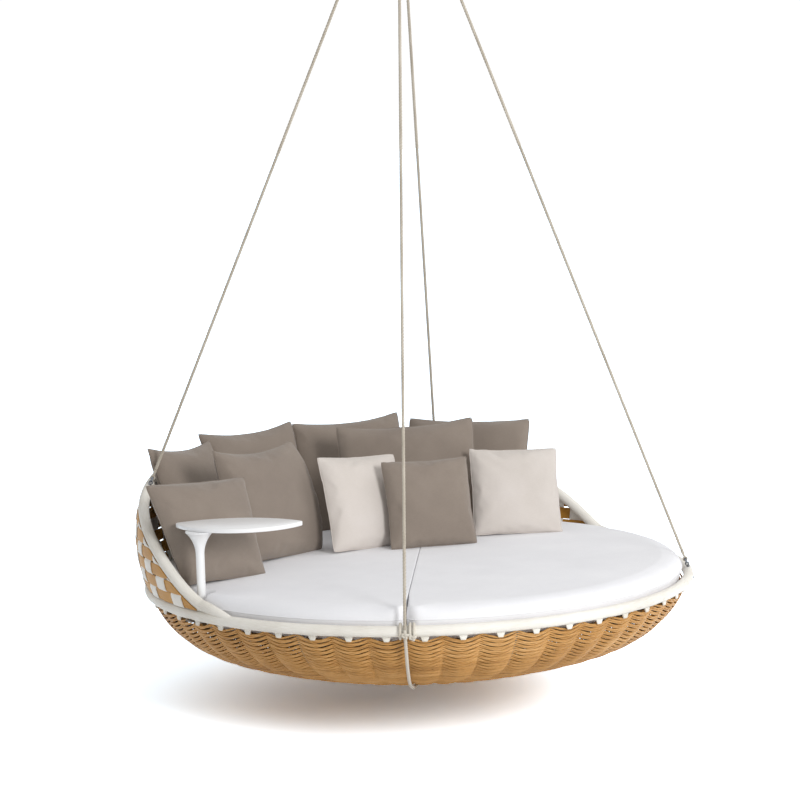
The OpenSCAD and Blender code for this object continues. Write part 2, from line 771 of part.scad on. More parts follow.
module back_bands() {
    depth = 2 * band_thick;
    color(C_TAN) at_ring() weave_window() for (k = [0 : 8]) {
        z0 = k == 0 ? band_low : 15 + k * band_pitch;
        z1 = min(15 + band_height + k * band_pitch, weave_top(90, depth) - 0.2);
        wide = min(rail_side(z0 + 14), rail_half - 1);
        thin = min(rail_side(z1 + 14), wide - 0.3);
        cut_above(90 + thin, weave_top(90 + thin, depth), 90 + wide, weave_top(90 + wide, depth))
            cut_above(90 - wide, weave_top(90 - wide, depth), 90 - thin, weave_top(90 - thin, depth))
                back_strip(90 - wide, 90 + wide, z0, z1, band_thick + 0.1, depth);
    }
}

// straps k = 0 to 14 count from the middle of the back to each side
module back_straps(parity, d0, d1) {
    color(C_WHITE) at_ring() weave_window() for (s = [-1, 1], k = [parity : 2 : 14]) {
        mid = 90 + s * (strap_step / 2 + strap_step * k);
        a0 = mid - strap_span / 2;
        a1 = mid + strap_span / 2;
        cut_above(a0, weave_top(a0, d1), a1, weave_top(a1, d1))
            back_strip(a0, a1, band_low, max(weave_top(a0, d1), weave_top(a1, d1)), d0, d1);
    }
}

module back_straps_outer() {
    back_straps(0, 0, band_thick);
}

module back_straps_inner() {
    back_straps(1, 2 * band_thick + 0.1, 3 * band_thick);
}

// ---------------------------------------------------------------- mattress and cushions
// radius at which the mattress has its top edge
mattress_inset = 40;
mattress_r = ring_r - mattress_inset;
// height of the mattress top at a distance r from the middle
function pad_top(r) = mattress_top + mattress_crown * (1 - pow(min(r, mattress_r) / mattress_r, 2));

// the soft edge from the bottom up, as distances from mattress_r and heights
function mattress_edge() = [for (p = [[-29, -mattress_bottom], [-5, -34], [6, -16], [9, 2], [13, 20],
    [19, 32], [20, 46], [15, 60], [1, mattress_top - 3]]) [mattress_r + p[0], p[1]]];
function mattress_crown_line() = [for (r = [mattress_r - 29, 780, 640, 480, 320, 160, 0]) [r, pad_top(r)]];

module mattress_half(side) {
    color(C_PAD) at_ring() rotate([0, 0, 45]) difference() {
        rotate([0, 0, side > 0 ? 0 : 180]) rotate_extrude(angle = 180, $fn = 120)
            polygon(concat([[0, -mattress_bottom]], mattress_edge(), mattress_crown_line()));
        translate([-1100, -split_gap / 2, -200]) cube([2200, split_gap, 400]);
        rotate([0, 0, -45]) at_post() cylinder(h = 400, r = post_d / 2 + 14, center = true);
        rotate([0, 0, -45]) at_post() translate([0, -post_d / 2 - 14, -200])
            cube([200, post_d + 28, 400]);
    }
}

module mattress_left() {
    mattress_half(1);
}

module mattress_right() {
    mattress_half(-1);
}

// A square cushion with drawn-in edges that stands on the mattress. Its foot is at x, y,
// it is turned by yaw about the upright, leans back and is rolled a little in its plane.
cushion_n = 12;
function grid_at(i) = -cos(180 * i / cushion_n);
function cushion_point(x, y, yaw, lean, roll, w, h, full, i, j, side) = let (
    u = grid_at(i), v = grid_at(j),
    a0 = w / 2 * u * (1 - cushion_pinch * (1 - v * v)),
    b0 = h / 2 * v * (1 - cushion_pinch * (1 - u * u)),
    c = side * full / 2 * pow(max(0, (1 - u * u) * (1 - v * v)), 0.45),
    a = a0 * cos(roll) - b0 * sin(roll),
    b = a0 * sin(roll) + b0 * cos(roll) + h / 2,
    py = b * sin(lean) + c * cos(lean),
    pz = b * cos(lean) - c * sin(lean),
    wx = x + a * cos(yaw) - py * sin(yaw),
    wy = y + a * sin(yaw) + py * cos(yaw),
    floor_z = pad_top(norm([wx, wy])) + face_clear)
    [wx, wy, max(mattress_top + pz, floor_z + (side > 0 ? 0 : 0.05))];

module cushion(x, y, yaw, lean, roll, w, h, full, tone) {
    n = cushion_n;
    m = n + 1;
    // back face points in full, then the front face points that are not on the seam
    back = [for (j = [0 : n], i = [0 : n]) cushion_point(x, y, yaw, lean, roll, w, h, full, i, j, 1)];
    front = [for (j = [1 : n - 1], i = [1 : n - 1])
        cushion_point(x, y, yaw, lean, roll, w, h, full, i, j, -1)];
    function b_id(i, j) = j * m + i;
    function f_id(i, j) = (i == 0 || j == 0 || i == n || j == n) ? b_id(i, j)
        : m * m + (j - 1) * (n - 1) + (i - 1);
    // each square is cut along the diagonal that points to the nearest corner, so that no
    // triangle has all its points on the seam
    function crossed(i, j) = (2 * i < n) != (2 * j < n);
    faces = concat(
        [for (j = [0 : n - 1], i = [0 : n - 1], t = [0, 1]) t == 0
            ? [b_id(i, j), b_id(i + 1, j), crossed(i, j) ? b_id(i, j + 1) : b_id(i + 1, j + 1)]
            : [crossed(i, j) ? b_id(i + 1, j) : b_id(i, j), b_id(i + 1, j + 1), b_id(i, j + 1)]],
        [for (j = [0 : n - 1], i = [0 : n - 1], t = [0, 1]) t == 0
            ? [f_id(i, j), crossed(i, j) ? f_id(i, j + 1) : f_id(i + 1, j + 1), f_id(i + 1, j)]
            : [crossed(i, j) ? f_id(i + 1, j) : f_id(i, j), f_id(i, j + 1), f_id(i + 1, j + 1)]]);
    color(tone) at_ring() polyhedron(points = concat(back, front), faces = faces, convexity = 4);
}

module cushion_back_1() {
    cushion(-445, 612, 22, 21, -4, 370, 440, back_full, C_TAUPE);
}

module cushion_back_2() {
    cushion(-95.5, 714, -1, 20, 0, 420, 450, back_full, C_TAUPE);
}

module cushion_back_3() {
    cushion(323, 650, -14.5, 21, 0.5, 450, 448, back_full, C_TAUPE);
}

module cushion_back_4() {
    cushion(609, 391, -50, 24, -1, 470, 432, back_full, C_TAUPE);
}

module cushion_middle_1() {
    cushion(-752, 162, 0, 28, -3, 396, 385, middle_full, C_TAUPE);
}

module cushion_middle_2() {
    cushion(-359, 344, 10, 18, -2, 438, 437, middle_full, C_TAUPE);
}

module cushion_middle_3() {
    cushion(291, 352, -36, 17, 2, 539, 444, middle_full, C_TAUPE);
}

module cushion_front_1() {
    cushion(1, 234, -3, 20, -4, 362, 363, front_full, C_CREAM);
}

module cushion_front_2() {
    cushion(164, 87, -23, 18, -0.5, 343, 338, front_full, C_TAUPE);
}

module cushion_front_3() {
    cushion(561, 41, -29, 20, -2.5, 354, 339, front_full, C_CREAM);
}

// ---------------------------------------------------------------- table
post_inset = 39;
post_r_at = ring_r - post_inset;
post_az = 175;
socket_low = -31;
socket_high = 34;
bush_flange = 4;

module at_post() {
    rotate([0, 0, post_az]) translate([post_r_at, 0, 0]) children();
}

// places of the two bolts that hold the bracket to the seat ring
module bracket_bolts() {
    rotate([0, 0, post_az]) for (y = [-20, 0]) translate([ring_r, y, -20]) children();
}

module table_socket() {
    color(C_WHITE) at_ring() at_post() difference() {
        translate([0, 0, socket_low]) cylinder(h = socket_high - socket_low, d = post_d + 8);
        translate([0, 0, socket_low + 4]) cylinder(h = 200, d = post_d + 3);
    }
}

module table_bush() {
    color(C_STEEL) at_ring() at_post() difference() {
        union() {
            translate([0, 0, socket_low + 4.1])
                cylinder(h = socket_high - socket_low - 2, d = post_d + 2.8);
            translate([0, 0, socket_high + 0.1]) cylinder(h = bush_flange, d = post_d + 8);
        }
        translate([0, 0, socket_low + 8]) cylinder(h = 200, d = post_d + 2 * post_clear);
    }
}

module table_post() {
    under = table_high - table_thick;
    bend = (pow(flare_r - post_d / 2, 2) + flare_high * flare_high) / 2 / (flare_r - post_d / 2);
    color(C_WHITE) at_ring() at_post() {
        translate([0, 0, socket_low + 8.1]) cylinder(h = under - socket_low - 8.1, d = post_d);
        rotate_extrude() difference() {
            translate([0, under - flare_high - 3]) square([flare_r, flare_high]);
            translate([post_d / 2 + bend, under - flare_high - 3]) circle(bend, $fn = 180);
        }
        translate([0, 0, under - 3]) cylinder(h = 2.9, r = flare_r);
    }
}

module table_collar() {
    color(C_WHITE) at_ring() at_post() translate([0, 0, socket_high + bush_flange + 0.2])
        difference() {
            cylinder(h = 12, d = post_d + 8);
            translate([0, 0, -1]) cylinder(h = 14, d = post_d + 0.1);
        }
}

module leaf() {
    half = table_length / 2;
    rf = (half * half + table_front_bulge * table_front_bulge) / 2 / table_front_bulge;
    rb = (half * half + table_back_bulge * table_back_bulge) / 2 / table_back_bulge;
    cf = rf - table_front_bulge;
    cb = table_back_bulge - rb;
    tip = 16;
    ty = (pow(rf - tip, 2) - pow(rb - tip, 2) - cf * cf + cb * cb) / 2 / (cb - cf);
    tx = sqrt(pow(rf - tip, 2) - pow(ty - cf, 2));
    xf = tx * rf / (rf - tip);
    yf = cf + (ty - cf) * rf / (rf - tip);
    xb = tx * rb / (rb - tip);
    yb = cb + (ty - cb) * rb / (rb - tip);
    intersection() {
        translate([0, cf]) circle(rf, $fn = 180);
        translate([0, cb]) circle(rb, $fn = 180);
        polygon([[-xf, -300], [xf, -300], [xf, yf], [xb, yb], [xb, 300], [-xb, 300],
            [-xb, yb], [-xf, yf]]);
    }
    for (s = [-1, 1]) translate([s * tx, ty]) circle(tip);
}

module table_top() {
    color(C_WHITE) at_ring() at_post() rotate([0, 0, -post_az - 43]) translate([130.5, 87.5, 0])
        rotate([0, 0, -3.2]) translate([0, 0, table_high - table_thick])
            linear_extrude(table_thick) leaf();
}

module socket_bracket() {
    color(C_STEEL) at_ring() difference() {
        rotate([0, 0, post_az]) translate([post_r_at - 7, -28, -26])
            cube([ring_r + 12 - post_r_at + 7, 36, 6]);
        at_post() cylinder(h = 200, d = post_d + 8.2, center = true);
        bracket_bolts() cylinder(h = 80, d = 6.4, center = true);
    }
}

module bracket_screws() {
    color(C_STEEL) at_ring() bracket_bolts() {
        translate([0, 0, -10]) cylinder(h = 16, d = 6);
        translate([0, 0, -11]) cylinder(h = 4.9, d = 11);
    }
}

ceiling_plate();
swing_pin_upper();
cross_block();
swing_pin_lower();
swivel_yoke();
thrust_washer();
swivel_stem();
stem_nut();
rope_plate();
rope_stops();
rope_back_left();
rope_back_right();
rope_front_right();
rope_front_left();
eye_bolts();
eye_bolt_nuts();
shackles();
shackle_pins();
rope_tails();
rope_lashing_front();
rope_lashing_back();
sling_rope();
seat_ring_left();
seat_ring_right();
ring_spigots();
ring_wrap();
frame_ribs();
base_hub();
deck_ring();
deck_tubes();
deck_panel();
bowl_stakes();
stake_tabs();
bowl_weave();
back_rail();
back_rail_wrap();
back_uprights();
back_bands();
back_straps_outer();
back_straps_inner();
mattress_left();
mattress_right();
cushion_back_1();
cushion_back_2();
cushion_back_3();
cushion_back_4();
cushion_middle_1();
cushion_middle_2();
cushion_middle_3();
cushion_front_1();
cushion_front_2();
cushion_front_3();
table_socket();
table_bush();
table_post();
table_collar();
table_top();
socket_bracket();
bracket_screws();
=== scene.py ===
# %% [markdown]
# # A round hanging daybed
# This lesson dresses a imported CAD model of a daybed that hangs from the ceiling
# on four ropes. The CAD gives every size and every moving body. Here each visible
# piece gets the shape and the finish of the real one: twisted rope, wrapped tube,
# woven cane, sewn cushions and a painted table. We work in metres, Z is up and the
# ceiling is at z = 0.

# %% Load the frame
import json
import random
from math import acos, asin, atan2, cos, degrees, pi, radians, sin, sqrt, tan

import bmesh
import bpy
import numpy as np
from mathutils import Matrix, Vector


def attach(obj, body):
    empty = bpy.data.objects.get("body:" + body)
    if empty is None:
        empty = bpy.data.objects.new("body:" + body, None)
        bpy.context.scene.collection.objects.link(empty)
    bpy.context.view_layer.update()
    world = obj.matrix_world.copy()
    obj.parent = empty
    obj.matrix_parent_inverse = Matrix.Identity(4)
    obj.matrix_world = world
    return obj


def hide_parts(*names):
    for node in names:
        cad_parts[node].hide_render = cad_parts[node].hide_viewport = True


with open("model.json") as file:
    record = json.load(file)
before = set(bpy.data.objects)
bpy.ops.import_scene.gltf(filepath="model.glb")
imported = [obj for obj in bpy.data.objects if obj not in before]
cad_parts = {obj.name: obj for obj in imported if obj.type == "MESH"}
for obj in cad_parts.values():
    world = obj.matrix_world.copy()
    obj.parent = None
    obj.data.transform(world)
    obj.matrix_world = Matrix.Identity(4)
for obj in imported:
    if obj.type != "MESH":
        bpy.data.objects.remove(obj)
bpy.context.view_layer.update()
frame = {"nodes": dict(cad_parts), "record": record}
scene = bpy.context.scene
scene.view_settings.view_transform = "Standard"

# %% [markdown]
# ## Small helpers
# An operator of Blender acts on everything that is selected, so each step starts
# by selecting only what it works on. Points and UV maps are read and written as
# arrays, which is much faster than one by one.

# %% Helpers for objects
def select_only(*objects):
    bpy.ops.object.select_all(action="DESELECT")
    for o in objects:
        o.select_set(True)
    bpy.context.view_layer.objects.active = objects[0]


def newest(name):
    """Names the object that an operator has just made."""
    o = bpy.context.object
    o.name = o.data.name = name
    return o


def new_object(name, data):
    o = bpy.data.objects.new(name, data)
    scene.collection.objects.link(o)
    return o


def joined(name, parts):
    select_only(*parts)
    bpy.ops.object.join()
    return newest(name)


def with_values(thing, **values):
    """Sets several attributes of a modifier, a lamp or other settings, and gives it back."""
    for key, value in values.items():
        setattr(thing, key, value)
    return thing


def apply_all(o):
    """Applies the object's modifiers, from the first to the last."""
    select_only(o)
    for name in [m.name for m in o.modifiers]:
        bpy.ops.object.modifier_apply(modifier=name)


def place_in_mesh(o):
    """Moves the object's place, turn and size into its mesh, as a CAD node has them."""
    select_only(o)
    bpy.ops.object.transform_apply(location=True, rotation=True, scale=True)
    return o


def merge_and(o, step, **values):
    """Merges the doubled points of a mesh, and takes one more step in edit mode."""
    select_only(o)
    bpy.ops.object.mode_set(mode="EDIT")
    bpy.ops.mesh.select_all(action="SELECT")
    bpy.ops.mesh.remove_doubles(threshold=1e-6)
    step(**values)
    bpy.ops.object.mode_set(mode="OBJECT")


def points(o):
    co = np.zeros(len(o.data.vertices) * 3)
    o.data.vertices.foreach_get("co", co)
    return co.reshape(-1, 3)


def move_points(o, co):
    o.data.vertices.foreach_set("co", co.ravel())
    o.data.update()


def change_uv(o, name, change):
    """Names the UV map and puts its values through change."""
    layer = o.data.uv_layers[0]
    layer.name = name
    uv = np.zeros(len(layer.data) * 2)
    layer.data.foreach_get("uv", uv)
    layer.data.foreach_set("uv", change(uv.reshape(-1, 2)).ravel())


def wear(o, finish):
    o.data.materials.clear()
    o.data.materials.append(finish)


def finish_piece(o, finish, slot, *replaces, angle=None):
    """The last step of a piece of the bed: hung, shaded, finished and parented to the bed's body. The slot is
    not used.
    """
    select_only(o)
    o.data.transform(hang)
    if angle is None:
        bpy.ops.object.shade_smooth()
    else:
        bpy.ops.object.shade_smooth_by_angle(angle=radians(angle))
    wear(o, finish)
    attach(o, "bed")
    if replaces:
        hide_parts(*replaces)
    return o

# %% [markdown]
# ## How the bed hangs
# The cushions are heavier than the front of the bed, so it hangs a little lower at
# the back, until its weight is right under the pins. The pieces are easier to model
# on a level bed. So each one is made level and then turned by this matrix, which
# repeats the two small turns of the CAD.

# %% The turn of the hanging bed
ring_z = -2.665


def about(z, angle, axis):
    """A turn about a pin that crosses the Z axis at height z."""
    pin = Matrix.Translation((0, 0, z))
    return pin @ Matrix.Rotation(radians(angle), 4, axis) @ pin.inverted()


hang = about(-0.030, -2.35, "X") @ about(-0.058, -0.68, "Y")
print("the ring's middle hangs at", [round(v, 4) for v in hang @ Vector((0, 0, ring_z))])

# %% [markdown]
# ## The camera
# The camera looks from a little above the seat, about ten metres away, through a
# long lens. Its place was found by fitting the seat ring, the tabs under it and the
# four ropes to the photograph.

# %% Camera
rim_middle = Vector((0, 0, ring_z + 0.015))
cam_dist, cam_up, cam_roll, cam_round = 9.9272, 0.1823, -0.0280, radians(-42.1)
tilt_side, tilt_up = -0.0051, 0.0634
lens_px, photo_px, sensor = 2724.47, 800, 36


def add_camera():
    """From the middle of the rim: round the bed, up, away from it, and the camera's own tilts."""
    def turn(angle, axis):
        return Matrix.Rotation(angle, 4, axis)
    away = turn(cam_round, "Z") @ turn(pi / 2 - cam_up, "X") @ Matrix.Translation((0, 0, cam_dist))
    tilt = turn(tilt_up, "X") @ turn(-tilt_side, "Y") @ turn(cam_roll, "Z")
    data = with_values(bpy.data.cameras.new("camera"), sensor_width=sensor, lens=sensor * lens_px / photo_px)
    cam = new_object("camera", data)
    cam.matrix_world = hang @ Matrix.Translation(rim_middle) @ away @ tilt
    scene.camera = cam
    return cam


camera = add_camera()
print("camera at", [round(v, 3) for v in camera.matrix_world.translation],
      "lens", round(camera.data.lens, 1))

# %% [markdown]
# ## Tubes along a line
# Rope, cane, wrapping and seams are all long round things. Blender can bevel a
# curve, but a tube that is laid out row by row can also carry a UV map that says how
# far along and how far round each point is, and patterns then follow the piece.

# %% Frames along a line
def unit_rows(a):
    return a / np.maximum(np.linalg.norm(a, axis=1, keepdims=True), 1e-12)


def swung(a, u, v):
    """The direction u turned towards v, by each of the angles a."""
    return np.cos(a)[..., None] * u + np.sin(a)[..., None] * v


def turned(x, y, angle):
    """x and y after a turn by an angle in degrees."""
    c, s = cos(radians(angle)), sin(radians(angle))
    return x * c - y * s, x * s + y * c


def run_along(path):
    """How far each point lies from the first one, along the path."""
    return np.concatenate([[0], np.cumsum(np.linalg.norm(np.diff(path, axis=0), axis=1))])


def length_of(path):
    return float(run_along(path)[-1])


def resampled(path, count, **ends):
    """Rows at even steps along a path. Columns after x, y and z are carried along."""
    run = run_along(path[:, :3])
    even = np.linspace(0, run[-1], count, **ends)
    return np.stack([np.interp(even, run, column) for column in path.T], 1)


def frames_along(path, closed=False):
    """Tangent and two cross directions that don't spin, at each point of a path."""
    t = np.roll(path, -1, 0) - np.roll(path, 1, 0) if closed else np.gradient(path, axis=0)
    t = unit_rows(t)
    n = np.zeros_like(path)
    side = np.array([0, 0, 1.0]) if abs(t[0][2]) < 0.9 else np.array([1.0, 0, 0])
    last = side - side.dot(t[0]) * t[0]
    for i in range(len(path)):
        last = last - last.dot(t[i]) * t[i]
        last = last / np.linalg.norm(last)
        n[i] = last
    if closed:
        end = last - last.dot(t[0]) * t[0]
        end = end / np.linalg.norm(end)
        off = atan2(np.cross(n[0], end).dot(t[0]), n[0].dot(end))
        a = -off * np.arange(len(path)) / len(path)
        n = swung(a, n, np.cross(t, n))
    return t, n, np.cross(t, n)

# %% Tubes
def grid_faces(rows, sides, run, closed):
    """Corners of the faces of one tube, and the UV of each corner."""
    i = np.arange(rows if closed else rows - 1)[:, None]
    j = np.arange(sides)[None, :]
    i2, j2 = (i + 1) % rows, (j + 1) % sides
    quads = np.stack([i * sides + j, i * sides + j2, i2 * sides + j2, i2 * sides + j], -1)
    run = np.append(run, run[-1] + (run[-1] - run[-2]))
    u = np.stack([j, j + 1, j + 1, j], -1) / sides
    v = run[np.stack([i, i, i + 1, i + 1], -1)]
    return quads.reshape(-1, 4), np.stack(np.broadcast_arrays(u, v), -1).reshape(-1, 2)


def grid_mesh(name, blocks):
    """One object of several tubes. A block is (points[rows, sides, 3], run[rows], closed)."""
    verts, faces, uvs, base = [], [], [], 0
    for pts, run, closed in blocks:
        quads, uv = grid_faces(*pts.shape[:2], run, closed)
        verts.append(pts.reshape(-1, 3))
        faces.append(quads + base)
        uvs.append(uv)
        base += len(verts[-1])
    verts, faces, uvs = (np.concatenate(a) for a in (verts, faces, uvs))
    mesh = bpy.data.meshes.new(name)
    mesh.vertices.add(len(verts))
    mesh.vertices.foreach_set("co", verts.astype(np.float32).ravel())
    mesh.loops.add(faces.size)
    mesh.loops.foreach_set("vertex_index", faces.astype(np.int32).ravel())
    mesh.polygons.add(len(faces))
    mesh.polygons.foreach_set("loop_start", np.arange(0, faces.size, 4, dtype=np.int32))
    mesh.update(calc_edges=True)
    mesh.uv_layers.new(name="run").data.foreach_set("uv", uvs.astype(np.float32).ravel())
    mesh.validate()
    o = new_object(name, mesh)
    if not all(closed for _, _, closed in blocks):
        bm = bmesh.new()
        bm.from_mesh(mesh)
        bmesh.ops.holes_fill(bm, edges=[e for e in bm.edges if e.is_boundary], sides=64)
        bm.to_mesh(mesh)
        bm.free()
    return o


def block(path, radius, sides=8, closed=False, shape=None):
    """Points of a tube round a path. shape(s, a) may change the radius along and round it."""
    path = np.asarray(path, float)
    _, n, b = frames_along(path, closed)
    run = run_along(path)
    a = np.arange(sides) / sides * 2 * pi
    r = np.broadcast_to(np.asarray(radius, float).reshape(-1, 1), (len(path), sides))
    if shape is not None:
        r = r + shape(run[:, None], a[None, :])
    return path[:, None] + r[..., None] * swung(a, n[:, None], b[:, None]), run, closed


def tube(name, *path_and_radius, **more):
    return grid_mesh(name, [block(*path_and_radius, **more)])

# %% [markdown]
# ## The ropes
# Four ropes aim at one point under the ceiling. Each is laid from three strands that
# twist round each other. The camera sees only their lower part. They are pulled
# straight by the weight of the bed, so the centre line is straight. It is repeated
# here from the CAD, in metres.

# %% Sizes of the CAD that the pieces share
apex = np.array([0, 0, -0.040])
ring_r, wrap_r, rail_wrap_r, rope_r = 0.975, 0.019, 0.0195, 0.006
rail_low, rail_high, rail_half, rail_inset = 0.0385, 0.432, 88.5, 0.021
back_c, back_z, back_arc = 0.520, 0.190, 0.500
turn_r = 0.0253


def rail_rise(u):
    """Share of the rail's height, with u from 0 at the middle to 1 at an end."""
    return 0.2 * (1 + cos(pi * u ** 5)) / 2 + 0.8 * (1 - u * u)


def rail_height(az):
    return rail_low + (rail_high - rail_low) * rail_rise(min(abs(az - 90) / rail_half, 1))


def back_radius(z):
    return back_c + sqrt(back_arc ** 2 - (z - back_z) ** 2)


def round_bed(r, az, z):
    """Points at radius r, az radians round the bed and z above the ring."""
    return np.stack([r * np.cos(az), r * np.sin(az), z + ring_z], -1)


def ring_point(r, az, z):
    return round_bed(r, radians(az), z)


def rail_point(az):
    z = rail_height(az)
    return ring_point(back_radius(z) - rail_inset, az, z)

# %% Lay the four ropes
lean = atan2(ring_r, 2.625)
foot = {
    "rope_back_left": rail_point(136.8),
    "rope_back_right": rail_point(43.2),
    "rope_front_right": ring_point(ring_r + 0.008 * cos(lean), 315, 0.008 * sin(lean)),
    "rope_front_left": ring_point(ring_r + turn_r * cos(lean), 225, turn_r * sin(lean)),
}
hardware_long, plate_z = 0.080, -0.098


def upward(low):
    return (apex - low) / np.linalg.norm(apex - low)


def rope_line(name, n):
    """n points of a rope. Three start above their eye bolt and shackle, and one at the ring."""
    low = foot[name]
    start = low + upward(low) * (0.0002 if name == "rope_front_left" else hardware_long)
    end = low + (apex - low) * ((plate_z - low[2]) / (apex[2] - low[2]))
    return start + (end - start) * np.linspace(0, 1, n)[:, None]


def laid_rope(path, strand_r, offset, pitch, strands=3):
    """Strands that twist round a path."""
    _, n, b = frames_along(path)
    made = []
    for k in range(strands):
        a = 2 * pi * (run_along(path) / pitch + k / strands)
        made.append(block(path + offset * swung(a, n, b), strand_r, 7))
    return made


def add_cord(line):
    """Works out where a taut cord of the hanging bed runs, and its length, but keeps neither."""
    hung = [tuple(hang @ Vector(p)) for p in line]
    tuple(hung[0])
    length_of(line)


ropes = {}
for name in foot:
    line = rope_line(name, 15)
    fine = rope_line(name, int(length_of(line) / 0.0045))
    o = grid_mesh(name.replace("rope_", "laid_rope_"), laid_rope(fine, 0.0031, 0.0029, 0.034))
    ropes[name] = (o, line)
    print(name, "is", round(length_of(line), 3), "m long")

# %% [markdown]
# ## Finishes
# Each finish is a small tree of shader nodes. The colour varies a little from place
# to place, because nothing that is made of yarn, cane or paint is one flat colour,
# and a bump gives the relief that is too fine to model. A colour is written as it is
# in a photograph, in sRGB, and turned into the linear values that shaders use.

# %% Building blocks for the finishes
def tone(*rgb):
    def linear(v):
        return v / 12.92 if v <= 0.04045 else ((v + 0.055) / 1.055) ** 2.4
    return tuple(linear(v / 255) for v in rgb) + (1,)


def feed(tree, sockets, **values):
    """Sets sockets by name, or links them when a value comes out of another node."""
    for key, value in values.items():
        socket = sockets[key.replace("_", " ")]
        if isinstance(value, bpy.types.NodeSocket):
            tree.links.new(value, socket)
        else:
            socket.default_value = value


def node(tree, kind, **values):
    n = tree.nodes.new("ShaderNode" + kind)
    feed(tree, n.inputs, **values)
    return n


def stretched(tree, source, scale, turn=(0, 0, 0)):
    return node(tree, "Mapping", Vector=source, Scale=scale, Rotation=turn).outputs["Vector"]


def speckle(tree, vector, scale, detail=3, rough=0.55):
    n = node(tree, "TexNoise", Vector=vector, Scale=scale, Detail=detail, Roughness=rough)
    return n.outputs["Fac"]


def threads(tree, vector, direction):
    n = node(tree, "TexWave", Vector=vector, Scale=300, Distortion=0.4)
    n.bands_direction = direction
    return n.outputs["Fac"]


def sums(tree, kind, *pair):
    n = node(tree, "Math")
    n.operation = kind
    for socket, value in zip(n.inputs, pair):
        feed(tree, {"it": socket}, it=value)
    return n.outputs[0]


def blend(tree, *parts):
    """The sum of values, each with its weight."""
    value, weight = parts[0]
    first = sums(tree, "MULTIPLY", value, weight)
    return sums(tree, "ADD", first, blend(tree, *parts[1:])) if parts[1:] else first


def ramp(tree, fac, *stops):
    n = node(tree, "ValToRGB", Fac=fac)
    band = n.color_ramp
    for _ in stops[2:]:
        band.elements.new(0.5)
    for e, (at, colour) in zip(band.elements, stops):
        e.position = at
        e.color = tone(*colour)
    return n.outputs["Color"]


def place_of(tree):
    return node(tree, "TexCoord").outputs["Object"]


def run_of(tree, name="run"):
    n = node(tree, "UVMap")
    n.uv_map = name
    return n.outputs["UV"]


def new_material(name):
    m = bpy.data.materials.new(name)
    m.use_nodes = True
    return m, m.node_tree, m.node_tree.nodes["Principled BSDF"].inputs


def make_finish(name, rough, pattern, stops, bump, **values):
    """A material. pattern(tree) gives what its colour and its relief follow, and maybe its gloss."""
    m, tree, shader = new_material(name)
    mix, height, *gloss = pattern(tree)
    relief = node(tree, "Bump", Height=height, Strength=bump[0], Distance=bump[1])
    feed(tree, shader, Base_Color=ramp(tree, mix, *stops), Normal=relief.outputs["Normal"],
         Roughness=gloss[0] if gloss else rough, **values)
    return m

# %% Rope and yarn
def rope_finish(name, *colours):
    def yarn(tree):
        fibre = speckle(tree, stretched(tree, run_of(tree), (14, 60, 1), (0, 0, 0.5)), 4, 4, 0.6)
        return blend(tree, (fibre, 0.6), (speckle(tree, place_of(tree), 9), 0.4)), fibre
    return make_finish(name, 0.85, yarn, zip((0.32, 0.52, 0.72), colours), (0.5, 0.0006), Sheen_Weight=0.25)


rope_yarn = rope_finish("rope_yarn", (150, 140, 124), (190, 181, 166), (216, 210, 198))
sling_yarn = rope_finish("sling_yarn", (176, 168, 152), (212, 205, 192), (232, 228, 220))

for name, (o, line) in ropes.items():
    finish_piece(o, rope_yarn, "rope", name)
    add_cord(line)
print("ropes:", [o.name for o, _ in ropes.values()])

# %% [markdown]
# ## White and tan strip, cane, cloth, metal and paint
# The seat ring and the back rail are wrapped in flat off-white strip. The back is
# woven from wider strips in white and tan. The bowl is round cane in a honey tone.
# The mattress is white canvas and the cushions are canvas in taupe and in a warm
# pale grey. The table is painted metal.

# %% Strip finishes
def strip_finish(name, *colours, grooves):
    def strip(tree):
        grain = speckle(tree, stretched(tree, run_of(tree), (grooves, 9, 1)), 3, 3, 0.6)
        return blend(tree, (grain, 0.55), (speckle(tree, place_of(tree), 5), 0.45)), grain
    return make_finish(name, 0.55, strip, zip((0.3, 0.5, 0.7), colours), (0.35, 0.0008),
                       Specular_IOR_Level=0.3)


wrap_white = strip_finish("wrap_white", (214, 208, 196), (237, 233, 224), (247, 245, 239), grooves=30)
strip_white = strip_finish("strip_white", (216, 210, 199), (238, 234, 226), (248, 246, 241), grooves=26)
strip_tan = strip_finish("strip_tan", (152, 102, 36), (184, 132, 54), (202, 152, 76), grooves=22)
tab_strip = strip_finish("tab_strip", (208, 201, 188), (234, 230, 220), (246, 243, 237), grooves=8)

# %% Cane finish
def cane(tree):
    at = place_of(tree)
    rows = speckle(tree, stretched(tree, at, (2.2, 2.2, 75)), 2.2, 2, 0.5)
    streak = speckle(tree, stretched(tree, at, (9, 9, 150)), 5, 4, 0.65)
    return blend(tree, (rows, 0.4), (streak, 0.35), (speckle(tree, at, 3.2, 2), 0.25)), streak


honey = ((0.33, (126, 82, 38)), (0.5, (194, 144, 80)), (0.66, (222, 177, 118)))
honey_cane = make_finish("honey_cane", 0.55, cane, honey, (0.4, 0.0007), Specular_IOR_Level=0.3)

# %% Canvas finishes
def canvas(tree):
    """Plain weave: two sets of threads that cross, on the cloth's own UV map in metres."""
    cloth = run_of(tree, "cloth")
    weave = sums(tree, "MULTIPLY", threads(tree, cloth, "X"), threads(tree, cloth, "Y"))
    slub = speckle(tree, stretched(tree, cloth, (60, 900, 1)), 1, 2, 0.6)
    patch = speckle(tree, place_of(tree), 5, 4, 0.6)
    height = sums(tree, "ADD", weave, sums(tree, "MULTIPLY", slub, 0.5))
    return blend(tree, (patch, 0.55), (slub, 0.3), (weave, 0.15)), height


def canvas_finish(name, *colours, sheen=0.2):
    return make_finish(name, 0.9, canvas, zip((0.28, 0.48, 0.68), colours), (0.18, 0.0005),
                       Sheen_Weight=sheen, Sheen_Roughness=0.5)


